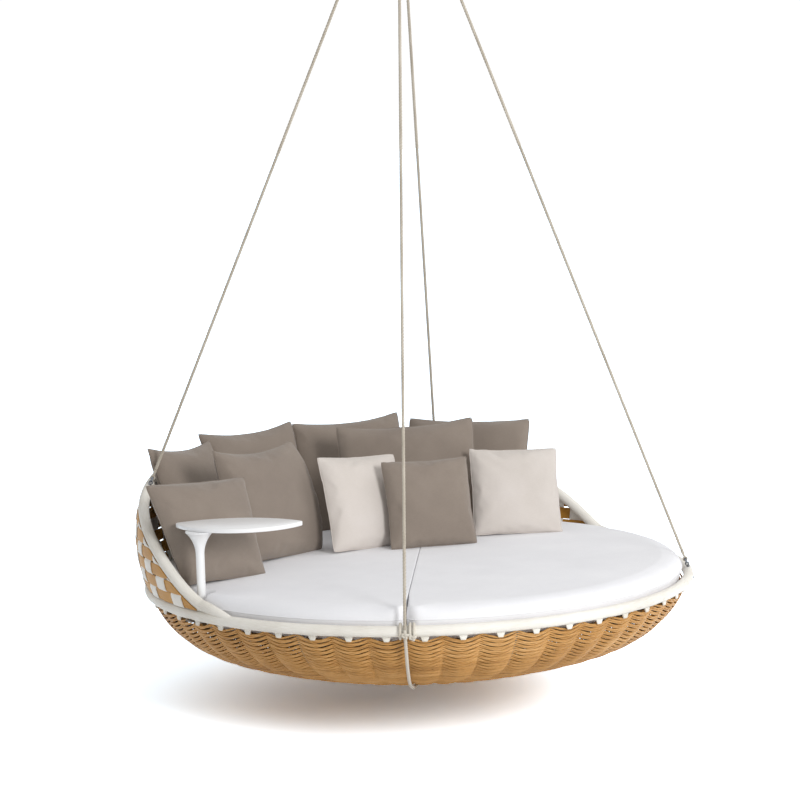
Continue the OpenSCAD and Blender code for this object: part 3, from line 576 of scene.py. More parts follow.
taupe_canvas = canvas_finish("taupe_canvas", (127, 115, 105), (137, 125, 114), (146, 134, 123))
cream_canvas = canvas_finish("cream_canvas", (203, 195, 187), (211, 203, 196), (218, 211, 206))
white_canvas = canvas_finish("white_canvas", (236, 236, 239), (241, 241, 244), (246, 246, 248), sheen=0.05)

# %% Metal, paint, board and plastic
def metal_finish(name, colour, rough, worn):
    def brushed(tree):
        at = place_of(tree)
        cloud = speckle(tree, at, 60, 4, 0.6)
        scratch = speckle(tree, stretched(tree, at, (30, 30, 600)), 2, 2)
        return cloud, scratch, sums(tree, "ADD", sums(tree, "MULTIPLY", cloud, 0.25), rough - 0.1)
    return make_finish(name, rough, brushed, ((0.3, worn), (0.6, colour)), (0.1, 0.0002), Metallic=1)


def painted(tree):
    at = place_of(tree)
    return speckle(tree, at, 4), speckle(tree, at, 900, 2)


def paint_finish(name, colour, shade, rough):
    return make_finish(name, rough, painted, ((0.3, shade), (0.6, colour)), (0.08, 0.0002), Coat_Weight=0.15)


def board(tree):
    return [speckle(tree, stretched(tree, place_of(tree), (2, 40, 40)), 3, 5, 0.65)] * 2


steel = metal_finish("brushed_steel", (196, 196, 198), 0.34, (150, 150, 152))
dark_steel = metal_finish("shackle_steel", (122, 122, 124), 0.38, (84, 84, 86))
frame_paint = paint_finish("frame_paint", (86, 68, 48), (72, 56, 40), 0.6)
table_paint = paint_finish("table_paint", (242, 242, 242), (238, 238, 239), 0.36)
bush_plastic = paint_finish("bush_plastic", (224, 222, 216), (214, 211, 204), 0.5)
wood = ((0.3, (128, 98, 62)), (0.55, (168, 134, 92)), (0.75, (190, 158, 116)))
deck_board = make_finish("deck_board", 0.7, board, wood, (0.2, 0.0008))
print("finishes:", len(bpy.data.materials))

# %% [markdown]
# ## Finishes on the CAD nodes that stay
# The ceiling fitting, the tubes under the seat and the bolts already have the right
# shape in the CAD. They keep it and only get a finish. A CAD node is never moved.

# %% Give the CAD nodes their finishes
cad_finish = dict(
    steel=steel, frame_paint=frame_paint, white_strip=strip_white, tan_strip=strip_tan,
    wicker=honey_cane, deck_board=deck_board, rope=rope_yarn, mattress_fabric=white_canvas,
    taupe_fabric=taupe_canvas, cream_fabric=cream_canvas, table_paint=table_paint, bush_plastic=bush_plastic)
slot_of = {p["node"]: p.get("material_slot") for p in frame["record"]["subparts"]}
for name, o in frame["nodes"].items():
    small = name in ("shackles", "shackle_pins", "eye_bolts", "eye_bolt_nuts")
    wear(o, dark_steel if small else cad_finish[slot_of[name]])
print("slots in use:", sorted(set(slot_of.values())))

# %% [markdown]
# ## The bowl of cane
# The bowl is woven from round cane. Each cane runs round under the ring and bulges
# out at every tab. Half way between two tabs it turns in and up with a sharp bend,
# so the rows make chevrons. Near the ring two canes lie together on one side of a
# tab and part on the other, which leaves dark gaps shaped like lenses. One cane is a
# circle of points that is moved, turned into a curve, and given a round bevel.

# %% Shape of the bowl
side_c, side_z, side_arc = 0.6467, 0.112, 0.3523
bottom_c, bottom_arc = 2.16002, 2.500
meet = atan2(side_z - bottom_c, side_c)
start = asin((-0.0352 - side_z) / side_arc)
side_len = (start - meet) * side_arc
whole_len = side_len + (meet + pi / 2) * bottom_arc


def bowl_at(s):
    """Radius, height and slope angle of the bowl's outer face, s metres down from its top."""
    if s < side_len:
        a = start - s / side_arc
        return side_c + side_arc * cos(a), side_z + side_arc * sin(a), a
    a = meet - (s - side_len) / bottom_arc
    return bottom_arc * cos(a), bottom_c + bottom_arc * sin(a), a


stakes = 48
stake_first = radians(3.75)
cane_r, cane_pitch = 0.0037, 0.0090
canes = int((whole_len - 0.036) / cane_pitch)
print("bowl:", canes, "canes,", round(whole_len, 3), "m from ring to middle")

# %% One circle of cane
rise_between, gap_half, wall_deep, flute_deep = 0.0066, 0.0021, 0.0036, 0.0053


def cane_circle(row):
    """A closed line of cane that bulges at the tabs and bends up half way between them."""
    s = row * cane_pitch
    r = bowl_at(s)[0]
    steps = stakes * (8 if r > 0.62 else 6 if r > 0.30 else 4)
    bpy.ops.mesh.primitive_circle_add(vertices=steps, radius=1)
    az = np.arange(steps) / steps * 2 * pi
    half = np.cos(stakes / 2 * (az - stake_first))
    bulge = 2 * np.abs(half) - 1
    fade = min(1.0, max(0.0, (r - 0.08) / 0.75))
    upper = min(1.0, max(0.0, 1.25 - s / 0.24))
    part = np.sign(half) * np.abs(np.sin(stakes * (az - stake_first))) * (1 if row % 2 else -1)
    wobble = 0.0005 * np.sin(7 * az + 1.7 * row) + 0.0004 * np.sin(23 * az + 2.9 * row)
    down = s + rise_between * fade * bulge + gap_half * upper * part + wobble
    deep = wall_deep + flute_deep * fade * (1 - bulge)
    rr, zz, slope = np.array([bowl_at(d) for d in down]).T
    o = bpy.context.object
    move_points(o, round_bed(rr - deep * np.cos(slope), az, zz - deep * np.sin(slope)))
    return o

# %% All rows, in six pieces
def woven_rows(name, first, last):
    select_only(*[cane_circle(row) for row in range(first, last)])
    bpy.ops.object.join()
    bpy.ops.object.convert(target="CURVE")
    with_values(bpy.context.object.data, bevel_depth=cane_r, bevel_resolution=1)
    bpy.ops.object.convert(target="MESH")
    return place_in_mesh(newest(name))


cuts = [0, 16, 32, 48, 66, 88, canes]
bowl_faces = 0
for k in range(6):
    o = woven_rows(f"bowl_canes_{k + 1}", cuts[k], cuts[k + 1])
    finish_piece(o, honey_cane, "wicker", "bowl_weave")
    bowl_faces += len(o.data.polygons)
print("bowl:", bowl_faces, "faces")

# %% [markdown]
# The rows end round a small coil in the middle of the bottom. It is one cane that
# is wound inwards as a flat spiral.

# %% Coil in the middle of the bottom
def bottom_coil(turns=4, steps=28):
    a = np.linspace(0, turns * 2 * pi, turns * steps)
    r = 0.031 - 0.0064 * a / (2 * pi)
    z = np.full(len(a), bowl_at(whole_len - 0.02)[1] + 0.0030)
    return tube("bowl_coil", round_bed(r, a, z), 0.0034)


finish_piece(bottom_coil(), honey_cane, "wicker")

# %% [markdown]
# ## The wrapped ring and rail
# Flat strip is wound round the steel tube, turn beside turn. A torus gives the ring.
# Its rows of points are then drawn in where two turns meet, so that each turn has
# its own soft edge. The rail is a tube along the rail's line, shaped in the same way.

# %% Turns of strip on a torus
strip_turn, strip_groove = 0.0084, 0.0009


def groove(phase, power):
    """How far a point is drawn in, between two turns of strip."""
    return strip_groove * (np.abs(phase - 0.5) * 2) ** power


def wrapped_ring():
    count = int(2 * pi * ring_r / strip_turn)
    bpy.ops.mesh.primitive_torus_add(major_segments=count * 4, minor_segments=14,
                                     major_radius=ring_r, minor_radius=wrap_r)
    o = newest("ring_wrap_turns")
    x, y, z = points(o).T
    az = np.arctan2(y, x)
    around = np.arctan2(z, np.hypot(x, y) - ring_r)
    step = 2 * pi / count
    uneven = 0.00025 * np.sin(np.floor(az / step + 0.01) * 2.4)
    r = wrap_r - groove((az % step) / step, 4) + uneven
    az = az + step * 0.5 * np.sin(around)
    move_points(o, round_bed(ring_r + r * np.cos(around), az, r * np.sin(around)))
    change_uv(o, "run", lambda uv: uv[:, ::-1] * (1, 2 * pi * ring_r))
    return o


finish_piece(wrapped_ring(), wrap_white, "white_strip", "ring_wrap")

# %% Turns of strip on the back rail
rail_tail = 9


def wrapped_rail():
    """The rail's tube. Past its ends it grows thinner and sinks into the wrapped ring."""
    low, high = 90 - rail_half, 90 + rail_half
    az = np.linspace(low - rail_tail, high + rail_tail, 1000)
    past = np.clip((np.abs(az - 90) - rail_half) / rail_tail, 0, 1)
    sunk = rail_low * (1 - 0.86 * past ** 1.3)
    line = [ring_point(ring_r + 0.0005 * (1 - p), a, z) if p > 0 else rail_point(min(max(a, low), high))
            for a, p, z in zip(az, past, sunk)]
    radius = rail_wrap_r - 0.0085 * past ** 1.5
    n = int(length_of(line) / strip_turn) * 4
    even = resampled(np.column_stack([line, radius]), n + 1)

    def turns(s, a):
        run = s + 0.25 * strip_turn * np.sin(a)
        return -groove((run / strip_turn) % 1.0, 5)
    return tube("rail_wrap_turns", even[:, :3], even[:, 3], 14, shape=turns)


finish_piece(wrapped_rail(), wrap_white, "white_strip", "back_rail_wrap")

# %% [markdown]
# ## The tabs under the ring
# Under the ring each stake is held by a short wrapped tab. It is modelled once from
# a cube: the lower end is drawn in and the corners get a bevel. The grooves between
# its turns of strip are in the finish. The rest are copies, turned round the bed.

# %% One tab, then forty-eight
tab_size, tab_place = (0.0075, 0.0330, 0.021), (0.9700, 0, ring_z - 0.0265)


def tab():
    bpy.ops.mesh.primitive_cube_add(size=1, location=(0, 0, 0))
    o = bpy.context.object
    o.scale = tab_size
    place_in_mesh(o)
    bpy.ops.object.mode_set(mode="EDIT")
    bm = bmesh.from_edit_mesh(o.data)
    for v in bm.verts:
        v.select = v.co.z < 0
    bm.select_flush_mode()
    bmesh.update_edit_mesh(o.data)
    bpy.ops.transform.resize(value=(0.8, 0.52, 1))
    bpy.ops.mesh.select_all(action="SELECT")
    bpy.ops.mesh.bevel(offset=0.0022, segments=2, affect="EDGES")
    bpy.ops.object.mode_set(mode="OBJECT")
    return o


def tabs():
    first = tab()
    made = []
    for k in range(stakes):
        made.append(new_object("tab", first.data.copy()))
        turn = Matrix.Rotation(stake_first + k * 2 * pi / stakes, 4, "Z")
        made[-1].data.transform(turn @ Matrix.Translation(tab_place))
    bpy.data.objects.remove(first)
    return joined("wrapped_tabs", made)


o = tabs()
o.data.uv_layers[0].name = "run"
finish_piece(o, tab_strip, "white_strip", "stake_tabs")

# %% [markdown]
# ## The woven back
# Nine tan bands run round the back, and thirty white straps cross them upright.
# Each strip is a grid of points laid on the curve of the back, waved in and out,
# and given a wall by Solidify.

# %% Where the layers of the weave lie
band_low, band_step, band_tall = 0.0188, 0.047, 0.0425
strip_thick, strip_crown, weave_middle = 0.0022, 0.0006, 0.0046
# the rope tied round the ring at 45 degrees needs a gap in the weave above it
tied_top = 0.033


def steep(az):
    slope = (rail_height(min(az + 1, 178.4)) - rail_height(max(az - 1, 1.6))) / (2 * ring_r) * 57.3
    return sqrt(1 + slope * slope)


def weave_top(az, depth):
    """Height at which a layer of the weave ends, just under the wrapped rail."""
    z = rail_height(az)
    r = back_radius(z) - rail_inset
    drop = 0
    for e in np.arange(0, 0.0215, 0.0005):
        if sqrt((back_radius(z - e) - depth - r) ** 2 + e * e) < rail_wrap_r + 0.0004:
            drop = e + 0.0005
    return z - steep(az) * drop - 0.0004 - 0.00015 * max(0, abs(az - 90) - 75)


def back_point(az, z, depth):
    a = asin((z - back_z) / back_arc)
    reach = back_arc - depth
    return ring_point(back_c + reach * cos(a), az, back_z + reach * sin(a))


def over_under(k, z):
    """1 where strap k is in front, -1 where it is behind, and smooth between."""
    lift = np.clip(2.0 * np.sin(pi * (z - 0.0135) / band_step), -1, 1)
    return -lift * (1 if k % 2 == 0 else -1)

# %% A strip of the weave
def strip_grid(name, across, along, at, new_uv):
    """A grid whose points are placed by at(i, j), with i and j from 0 to 1."""
    bpy.ops.mesh.primitive_grid_add(x_subdivisions=across, y_subdivisions=along, size=1)
    o = newest(name)
    move_points(o, np.array([at(x + 0.5, y + 0.5) for x, y, _ in points(o)]))
    change_uv(o, "run", new_uv)
    p = o.data.polygons[len(o.data.polygons) // 2]
    if p.normal.x * p.center.x + p.normal.y * p.center.y < 0:
        o.data.flip_normals()
    with_values(o.modifiers.new("wall", "SOLIDIFY"), thickness=strip_thick, offset=0)
    with_values(o.modifiers.new("edge", "BEVEL"), width=strip_thick * 0.35, segments=2, limit_method="ANGLE")
    apply_all(o)
    return o


def crown(share):
    """A strip is a little fuller along its middle than at its edges."""
    return strip_crown * (1 - (2 * share - 1) ** 2)

# %% The white straps
strap_half = 2.1


def strap(side, k):
    mid = 90 + side * (3 + 6 * k)
    a0, a1 = mid - strap_half, mid + strap_half
    top0, top1 = weave_top(a0, 0.0045), weave_top(a1, 0.0045)
    low = tied_top if abs(mid - 45) < 3.5 else band_low
    tall = max(top0, top1) - low

    def at(i, j):
        z = low + (top0 + (top1 - top0) * i - low) * j
        return back_point(a0 + (a1 - a0) * i, z, weave_middle - 0.0031 * over_under(k, z) - crown(i))
    return strip_grid(f"strap_{side}_{k}", 8, max(6, int(tall / 0.0052)), at, lambda uv: uv * (1, tall))


straps = [strap(side, k) for side in (-1, 1) for k in range(15)]
o = joined("back_straps", straps)
finish_piece(o, strip_white, "white_strip", "back_straps_outer", "back_straps_inner", angle=50)
print("straps:", len(straps), "strips,", len(o.data.polygons), "faces")

# %% The tan bands
def rail_side(z):
    """Angle from the middle of the back at which the rail is at height z."""
    u = np.linspace(1, 0, 400)
    heights = [rail_low + (rail_high - rail_low) * rail_rise(v) for v in u]
    return rail_half * float(np.interp(z, heights, u))


def band(row):
    z0 = 0.016 + band_step * row if row else band_low
    wide = min(rail_side(z0 + 0.014), rail_half - 1)
    front = -1 if row % 2 == 0 else 1

    def at(i, j):
        az = 90 - wide + 2 * wide * i
        top = max(min(z0 + band_tall, weave_top(az, 0.006)), z0 + 0.001)
        low = min(tied_top, top - 0.001) if row == 0 and 42.2 < az < 47.4 else z0
        k = (abs(az - 90) - 3) / 6
        wave = cos(pi * (k - round(k))) ** 2 * (1 if round(k) % 2 == 0 else -1)
        return back_point(az, low + (top - low) * j, weave_middle + 0.0010 * wave * front - crown(j))
    long = 2 * radians(wide) * ring_r
    return strip_grid(f"band_{row}", int(2 * wide / 0.8), 4, at, lambda uv: uv[:, ::-1] * (1, long))


bands = [band(row) for row in range(9)]
o = joined("back_bands_woven", bands)
finish_piece(o, strip_tan, "tan_strip", "back_bands", angle=50)
print("bands:", len(bands), "strips,", len(o.data.polygons), "faces")

# %% [markdown]
# ## The mattress
# The round mattress is in two halves that meet on the line of the front rope. A half
# is built in rings. The first ring follows its outline, with round corners at the
# split and a notch for the table post. The next ones step outwards over the ring and
# then inwards and upwards over the soft edge, and the last ones shrink towards the
# middle. A thin seam runs round the widest of them, low on the side.

# %% Outline of one half
mattress_r, edge_r, split = 0.935, 0.955, 0.0004
post_r, post_a, notch_r = 0.936, radians(130), 0.029
post_side = np.array([cos(post_a), sin(post_a)])


def pad_top(x, y):
    """Height of the mattress above the ring, which is a little more in the middle."""
    return 0.073 + 0.007 * (1 - (np.minimum(np.hypot(x, y), mattress_r) / mattress_r) ** 2)


def rounded(corners, steps=10):
    """Rounds a closed outline. Each of its corners is a point and a radius."""
    out = []
    for i, (point, radius) in enumerate(corners):
        if radius == 0:
            out.append(tuple(point))
            continue
        p, a, b = (Vector(corners[k % len(corners)][0]) for k in (i, i - 1, i + 1))
        u, v = (a - p).normalized(), (b - p).normalized()
        half_turn = u.angle(v) / 2
        cut = radius / tan(half_turn)
        middle = p + (u + v).normalized() * (radius / sin(half_turn))
        first, last = p + u * cut - middle, p + v * cut - middle
        turn = first.angle_signed(last)
        for k in range(steps + 1):
            w = first.copy()
            w.rotate(Matrix.Rotation(-turn * k / steps, 2))
            out.append(tuple(middle + w))
    return out


def notch():
    """The recess for the table post: half a circle, with a rounded mouth."""
    u, t = post_side, np.array([-post_side[1], post_side[0]])
    mouth = [(u * sqrt(edge_r ** 2 - notch_r ** 2) + t * s * notch_r, 0.016) for s in (-1, 1)]
    inner = [(u * post_r + (u * cos(b) + t * sin(b)) * notch_r, 0)
             for b in np.linspace(1.5 * pi, 0.5 * pi, 13)]
    return mouth[:1] + inner + mouth[1:]


def half_outline(side):
    """A half with its split on the X axis. The left half, side 1, has the notch."""
    gap = 1.9 * notch_r / edge_r if side > 0 else 0
    arc = [(a, ((edge_r * cos(a), edge_r * sin(a)), 0)) for a in np.linspace(0, pi, 151)
           if edge_r * sin(a) >= 0.062 and abs(a - post_a) >= gap]
    before = [corner for a, corner in arc if a < post_a]
    after = [corner for a, corner in arc if a > post_a]
    reach = sqrt(edge_r ** 2 - split ** 2)
    ends = [((-reach, split), 0.050), ((reach, split), 0.050)]
    return rounded(before + (notch() if side > 0 else []) + after + ends)

# %% Rings of one half
base_z, edge_top = -0.045, 0.0735
# height of each ring above the seat ring, and how far it lies inside the outline
edge_profile = [(base_z, 0.049), (-0.040, 0.036), (-0.030, 0.022), (-0.016, 0.014), (0.002, 0.011),
                (0.018, 0.0060), (0.030, 0.0030), (0.042, 0.0066), (0.052, 0.0135), (0.060, 0.0225),
                (0.0665, 0.0350), (0.0712, 0.0510), (edge_top, 0.0700)]
top_shares = (0.995, 0.977, 0.94, 0.86, 0.76, 0.64, 0.50, 0.35, 0.2, 0.08, 0)
base_shares = (0, 0.3, 0.6, 0.9)
seam_row = len(base_shares) + 6
half_middle = np.array([0, 0.40, 0])


def edge_softness(line, side):
    """1 on the round side. Near the split and the notch the edge is rounded less."""
    out = np.clip((np.hypot(line[:, 0], line[:, 1]) - 0.72) / 0.2, 0, 1)
    soft = np.clip((line[:, 1] - 0.004) / 0.10, 0, 1)
    soft = soft + (1 - soft) * (0.012 + 0.16 * out)
    if side > 0:
        near = np.linalg.norm(line - post_side * post_r, axis=1)
        soft = np.minimum(soft, np.clip((near - 0.05) / 0.16, 0, 1) * 0.72 + 0.28)
    return sum(np.roll(soft, k) for k in range(-4, 5)) / 9


def mattress_rings(side):
    outline = half_outline(side)
    line = resampled(np.array(outline + outline[:1]), 560, endpoint=False)
    ahead = unit_rows(np.roll(line, -2, 0) - np.roll(line, 2, 0))
    inward = np.stack([-ahead[:, 1], ahead[:, 0]], 1)
    soft = edge_softness(line, side)
    rings = []
    for z, d in edge_profile:
        p = line + inward * (d * soft)[:, None]
        lift = (pad_top(*p.T) - edge_top) * min(1, max(0, (z - 0.05) / 0.02))
        rings.append(np.column_stack([p, z + lift]))
    base = [half_middle + (rings[0] - half_middle) * share for share in base_shares]
    for p in base:
        p[:, 2] = base_z
    top = [half_middle + (rings[-1] - half_middle) * share for share in top_shares]
    for p, share in zip(top, top_shares):
        p[:, 2] = pad_top(p[:, 0], p[:, 1]) + 0.0005 * (1 - min(1.0, (1 - share) / 0.1))
    return np.array(base + rings + top)


def cloth_map(o):
    """A UV map in metres: from above where a face is level, else along the edge and up."""
    mesh = o.data
    while mesh.uv_layers:
        mesh.uv_layers.remove(mesh.uv_layers[0])
    layer = mesh.uv_layers.new(name="cloth")
    for face in mesh.polygons:
        level = abs(face.normal.z) > 0.6
        for k in face.loop_indices:
            p = mesh.vertices[mesh.loops[k].vertex_index].co
            layer.data[k].uv = (p.x, p.y) if level else (atan2(p.y, p.x) * edge_r, p.z)


def mattress_half(name, side):
    x, y, z = np.moveaxis(mattress_rings(side), -1, 0)
    slow = 0.0011 * np.sin(x * 9.1 + 1) * np.sin(y * 7.3) + 0.0006 * np.sin(x * 23 + y * 17)
    z = z + np.where(z > 0.055, slow, 0) + ring_z
    pts = np.stack([*turned(x, y, 45 if side > 0 else 225), z], -1)
    o = grid_mesh(name, [(pts, np.linspace(0, 1, len(pts)), False)])
    merge_and(o, bpy.ops.mesh.normals_make_consistent, inside=False)
    seam = tube(name + "_seam", pts[seam_row] + np.array([0, 0, 0.001]), 0.0019, 6, closed=True)
    o = joined(name, [o, seam])
    cloth_map(o)
    return o


for name, side in (("mattress_left", 1), ("mattress_right", -1)):
    o = mattress_half(name + "_half", side)
    finish_piece(o, white_canvas, "mattress_fabric", name)
    print(name, len(o.data.polygons), "faces")

# %% [markdown]
# ## The cushions
# A scatter cushion is two squares of cloth sewn round the edge and filled. It is
# made in the same way: a thin flat envelope is domed to a little less than its full
# size, and the cloth simulation blows it up the rest of the way. The result is scaled
# to the size of the cushion in the CAD. Folds that fan out from the corners and
# puckers along the seams are pressed in, because the simulation alone leaves the
# cloth nearly smooth. The edges sink as far as the photograph shows, and the cushion
# is stood up, leaned back and turned on its foot.

# %% Blow up an envelope of cloth
cloth_steps = 30
# how far the cloth may stand out past the CAD form, and how far it stays above the mattress
slack = 0.0012


def cad_half(u, v, full):
    """Half the thickness of the CAD cushion, with u and v from -1 to 1 across it."""
    return full / 2 * np.maximum(0, (1 - u * u) * (1 - v * v)) ** 0.45


def envelope(name, w, h, full, seed):
    """Two sheets sewn together, domed to almost the rounded form of the CAD cushion."""
    bpy.ops.mesh.primitive_grid_add(x_subdivisions=cloth_steps, y_subdivisions=cloth_steps, size=1)
    o = newest(name)
    o.scale = (w, h, 1)
    place_in_mesh(o)
    change_uv(o, "cloth", lambda uv: uv * (w, h))
    rng = random.Random(seed)
    co = points(o)
    co[:, 2] += [rng.uniform(-0.0004, 0.0004) for _ in co]
    move_points(o, co)
    with_values(o.modifiers.new("wall", "SOLIDIFY"), thickness=0.010, offset=0)
    apply_all(o)
    co = points(o)
    push = cad_half(co[:, 0] / (w / 2), co[:, 1] / (h / 2), 0.9 * full)
    co[:, 2] += np.where(co[:, 2] > 0, push, -push)
    move_points(o, co)
    return o


def blow_up(o, cap=0.016, frames=20):
    """Cloth under pressure, without gravity. No point moves further than cap."""
    before = points(o)
    m = o.modifiers.new("cloth", "CLOTH")
    with_values(m.settings, quality=5, mass=0.2, use_pressure=True, uniform_pressure_force=4,
                tension_stiffness=20, compression_stiffness=20, shear_stiffness=8, bending_stiffness=0.4)
    m.settings.effector_weights.gravity = 0
    m.collision_settings.use_collision = False
    with_values(m.point_cache, frame_start=1, frame_end=frames)
    for f in range(1, frames + 1):
        scene.frame_set(f)
    apply_all(o)
    scene.frame_set(1)
    move = points(o) - before
    far = np.linalg.norm(move, axis=1, keepdims=True)
    move *= np.tanh(far / cap) * cap / np.maximum(far, 1e-9)
    move_points(o, before + move)

# %% Press in the creases, fit the form to its size, and let the edges sink
def creases(co, w, h, seed):
    """How deep the folds are that fan out from the corners, and the puckers along the seams."""
    rng = random.Random(seed)
    x, y = co[:, 0], co[:, 1]
    depth = (0.003 * np.sin(x * rng.uniform(9, 15) + rng.uniform(0, 6))
             * np.sin(y * rng.uniform(9, 15) + 1))
    for cx, cy in ((-1, -1), (1, -1), (1, 1), (-1, 1)):
        dx, dy = w / 2 - cx * x, h / 2 - cy * y
        far = np.hypot(dx, dy)
        fan = 0.5 + 0.5 * np.cos(np.arctan2(dy, dx) * rng.uniform(9, 14) + rng.uniform(0, 6))
        depth += 0.007 * np.exp(-far / 0.11) * np.clip(far / 0.03, 0, 1) * fan
    for along, off in ((x, h / 2 - y), (x, h / 2 + y), (y, w / 2 - x), (y, w / 2 + x)):
        pitch = rng.uniform(0.034, 0.052)
        ripple = np.sin(along * 2 * pi / pitch + 1.5 * np.sin(along * 23 + rng.uniform(0, 6)))
        depth += 0.0035 * np.exp(-np.maximum(off, 0) / 0.035) * (0.5 + 0.5 * ripple)
    return depth


def fit_cushion(co, w, h, full, sink, flare, seed):
    """sink is how far the top, bottom, left and right edges draw in, in millimetres."""
    def across():
        return np.clip(co[:, 0] / (w / 2), -1, 1), np.clip(co[:, 1] / (h / 2), -1, 1)

    def toward(share):
        return np.clip(share, 0, 1) ** 1.5
    co = co - (co.max(0) + co.min(0)) / 2
    co *= np.array([w, h, full * 0.99]) / (co.max(0) - co.min(0))
    u, v = across()
    plump = cad_half(u, v, full) + slack
    thick = np.maximum(np.abs(co[:, 2]), 0.012)
    edge = np.abs(co[:, 2]) < 0.006
    co[:, 2] *= 1 - np.clip(creases(co, w, h, seed) / thick, -0.1, 0.6)
    upright, level = co[edge & (np.abs(u) < 0.1), 1], co[edge & (np.abs(v) < 0.1), 0]
    now = (h / 2 - upright.max(), upright.min() + h / 2, level.min() + w / 2, w / 2 - level.max())
    top, low, left, right = [want / 1000 - have for want, have in zip(sink, now)]
    co[:, 1] += (1 - u * u) * (low * toward(-v) - top * toward(v))
    co[:, 0] += (1 - v * v) * (left * toward(-u) - right * toward(u))
    limit = cad_half(*across(), full) + slack
    # an edge that bows out stays as full as it was
    bows_out = (u > 0) & (sink[3] < 0) | (u < 0) & (sink[2] < 0)
    limit = np.where(bows_out, np.maximum(limit, plump), limit)
    co[:, 2] = np.clip(co[:, 2], -limit, limit)
    co[:, 0] *= flare[1] + (flare[0] - flare[1]) * (v + 1) / 2
    # a sewn corner never ends in a sharp point
    co[:, :2] *= 1 - 0.03 * ((u * v) ** 8)[:, None]
    return co


def stand_up(co, x, y, yaw, lean_back, roll, h):
    """From the cushion's own plane to its place on the mattress, as in the CAD."""
    across, up = turned(co[:, 0], co[:, 1], roll)
    up, out = turned(up + h / 2, co[:, 2], lean_back)
    across, out = turned(across, out, yaw)
    across, out, up = across + x, out + y, up + 0.073
    rest = pad_top(across, out) + slack
    rest -= 0.0015 * np.tanh(40 * np.maximum(0, rest - up))
    return np.stack([across, out, np.maximum(up, rest) + ring_z], 1)


def rim_line(o):
    """The seam: the middle of the narrow faces that join the two sheets, as a closed line."""
    n, side = cloth_steps, cloth_steps + 1
    ids = (list(range(side)) + [j * side + n for j in range(1, side)]
           + [n * side + n - j for j in range(1, side)] + [(n - j) * side for j in range(1, n)])
    lower, upper = np.split(points(o), 2)
    return (lower[ids] + upper[ids]) / 2

# %% Make all ten
full_of = {"back": 0.120, "middle": 0.130, "front": 0.110}
cream = ("front_1", "front_3")
# x, y, yaw, lean, roll, width, height, how many millimetres the top, bottom, left and right
# edges sink, and how much wider the top and the bottom are than the middle
cushions = {
    "back_1": (-0.445, 0.612, 22, 21, -4, 0.370, 0.440, (34, 10, 4, 10), (1.2, 0.96)),
    "back_2": (-0.0955, 0.714, -1, 20, 0, 0.420, 0.450, (34, 10, 12, 4), (1.09, 1.0)),
    "back_3": (0.323, 0.650, -14.5, 21, 0.5, 0.450, 0.448, (32, 10, -8, 12), (1.05, 1.0)),
    "back_4": (0.609, 0.391, -50, 24, -1, 0.470, 0.432, (20, 10, 10, 12), (1.04, 1.0)),
    "middle_1": (-0.752, 0.162, 0, 28, -3, 0.396, 0.385, (10, 10, 6, 12), (1.11, 0.92)),
    "middle_2": (-0.359, 0.344, 10, 18, -2, 0.438, 0.437, (36, 12, 16, -50), (1.0, 1.08)),
    "middle_3": (0.291, 0.352, -36, 17, 2, 0.539, 0.444, (26, 12, 12, 12), (1.0, 1.0)),
    "front_1": (0.001, 0.234, -3, 20, -4, 0.362, 0.363, (10, 8, 10, 10), (1.0, 1.0)),
    "front_2": (0.164, 0.087, -23, 18, -0.5, 0.343, 0.338, (10, 8, 10, 10), (1.0, 1.0)),
    "front_3": (0.561, 0.041, -29, 20, -2.5, 0.354, 0.339, (10, 8, 10, 10), (1.0, 1.0)),
}


def make_cushion(index, key):
    *stand, w, h, sink, flare = cushions[key]
    full = full_of[key.split("_")[0]]
    name = "cushion_" + key
    o = envelope(name + "_sewn", w, h, full, 100 + index)
    blow_up(o)
    move_points(o, stand_up(fit_cushion(points(o), w, h, full, sink, flare, 40 + index), *stand, h))
    seam = tube(name + "_welt", rim_line(o), 0.0018, 6, closed=True)
    seam.data.uv_layers[0].name = "cloth"
    with_values(o.modifiers.new("smoother", "SUBSURF"), levels=1, render_levels=1)
    apply_all(o)
    o = joined(name + "_sewn", [o, seam])
    finish, slot = (cream_canvas, "cream_fabric") if key in cream else (taupe_canvas, "taupe_fabric")
    finish_piece(o, finish, slot, name)
    return o


sewn = [make_cushion(k, key) for k, key in enumerate(cushions)]
print("cushions:", [(o.name, len(o.data.polygons)) for o in sewn][:2], "and", len(sewn) - 2, "more")

# %% [markdown]
# ## The small table
# The table top is a copy of the CAD leaf whose doubled points are merged. Its edges
# are rounded with a bevel, because a painted metal edge is never sharp.

# %% Table top
def table_leaf():
    o = frame["nodes"]["table_top"].copy()
    o.data = o.data.copy()
    for key in list(o.keys()):
        del o[key]
    scene.collection.objects.link(o)
    merge_and(o, bpy.ops.mesh.dissolve_limited, angle_limit=radians(0.5))
    with_values(o.modifiers.new("edge", "BEVEL"), width=0.003, segments=3, limit_method="ANGLE",
                angle_limit=radians(50))
    apply_all(o)
    bpy.ops.object.shade_smooth_by_angle(angle=radians(40))
    return newest("table_leaf")


o = table_leaf()
wear(o, table_paint)
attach(o, "table")
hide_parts("table_top")
print("table top:", len(o.data.polygons), "faces")

# %% [markdown]
# ## Rope round the ring and under the bowl
# The front rope is tied round the ring and carries on as a sling under the bowl, up
# to the back of the ring. It is a paler, braided rope. Its line goes round the ring,
# straight to the bowl, down the side and across the bottom.

# %% Line of the sling
off_bowl = 0.007


def arc(cr, cz, r, a0, a1, n):
    return [(cr + r * cos(b), cz + r * sin(b)) for b in np.radians(np.linspace(a0, a1, n))]


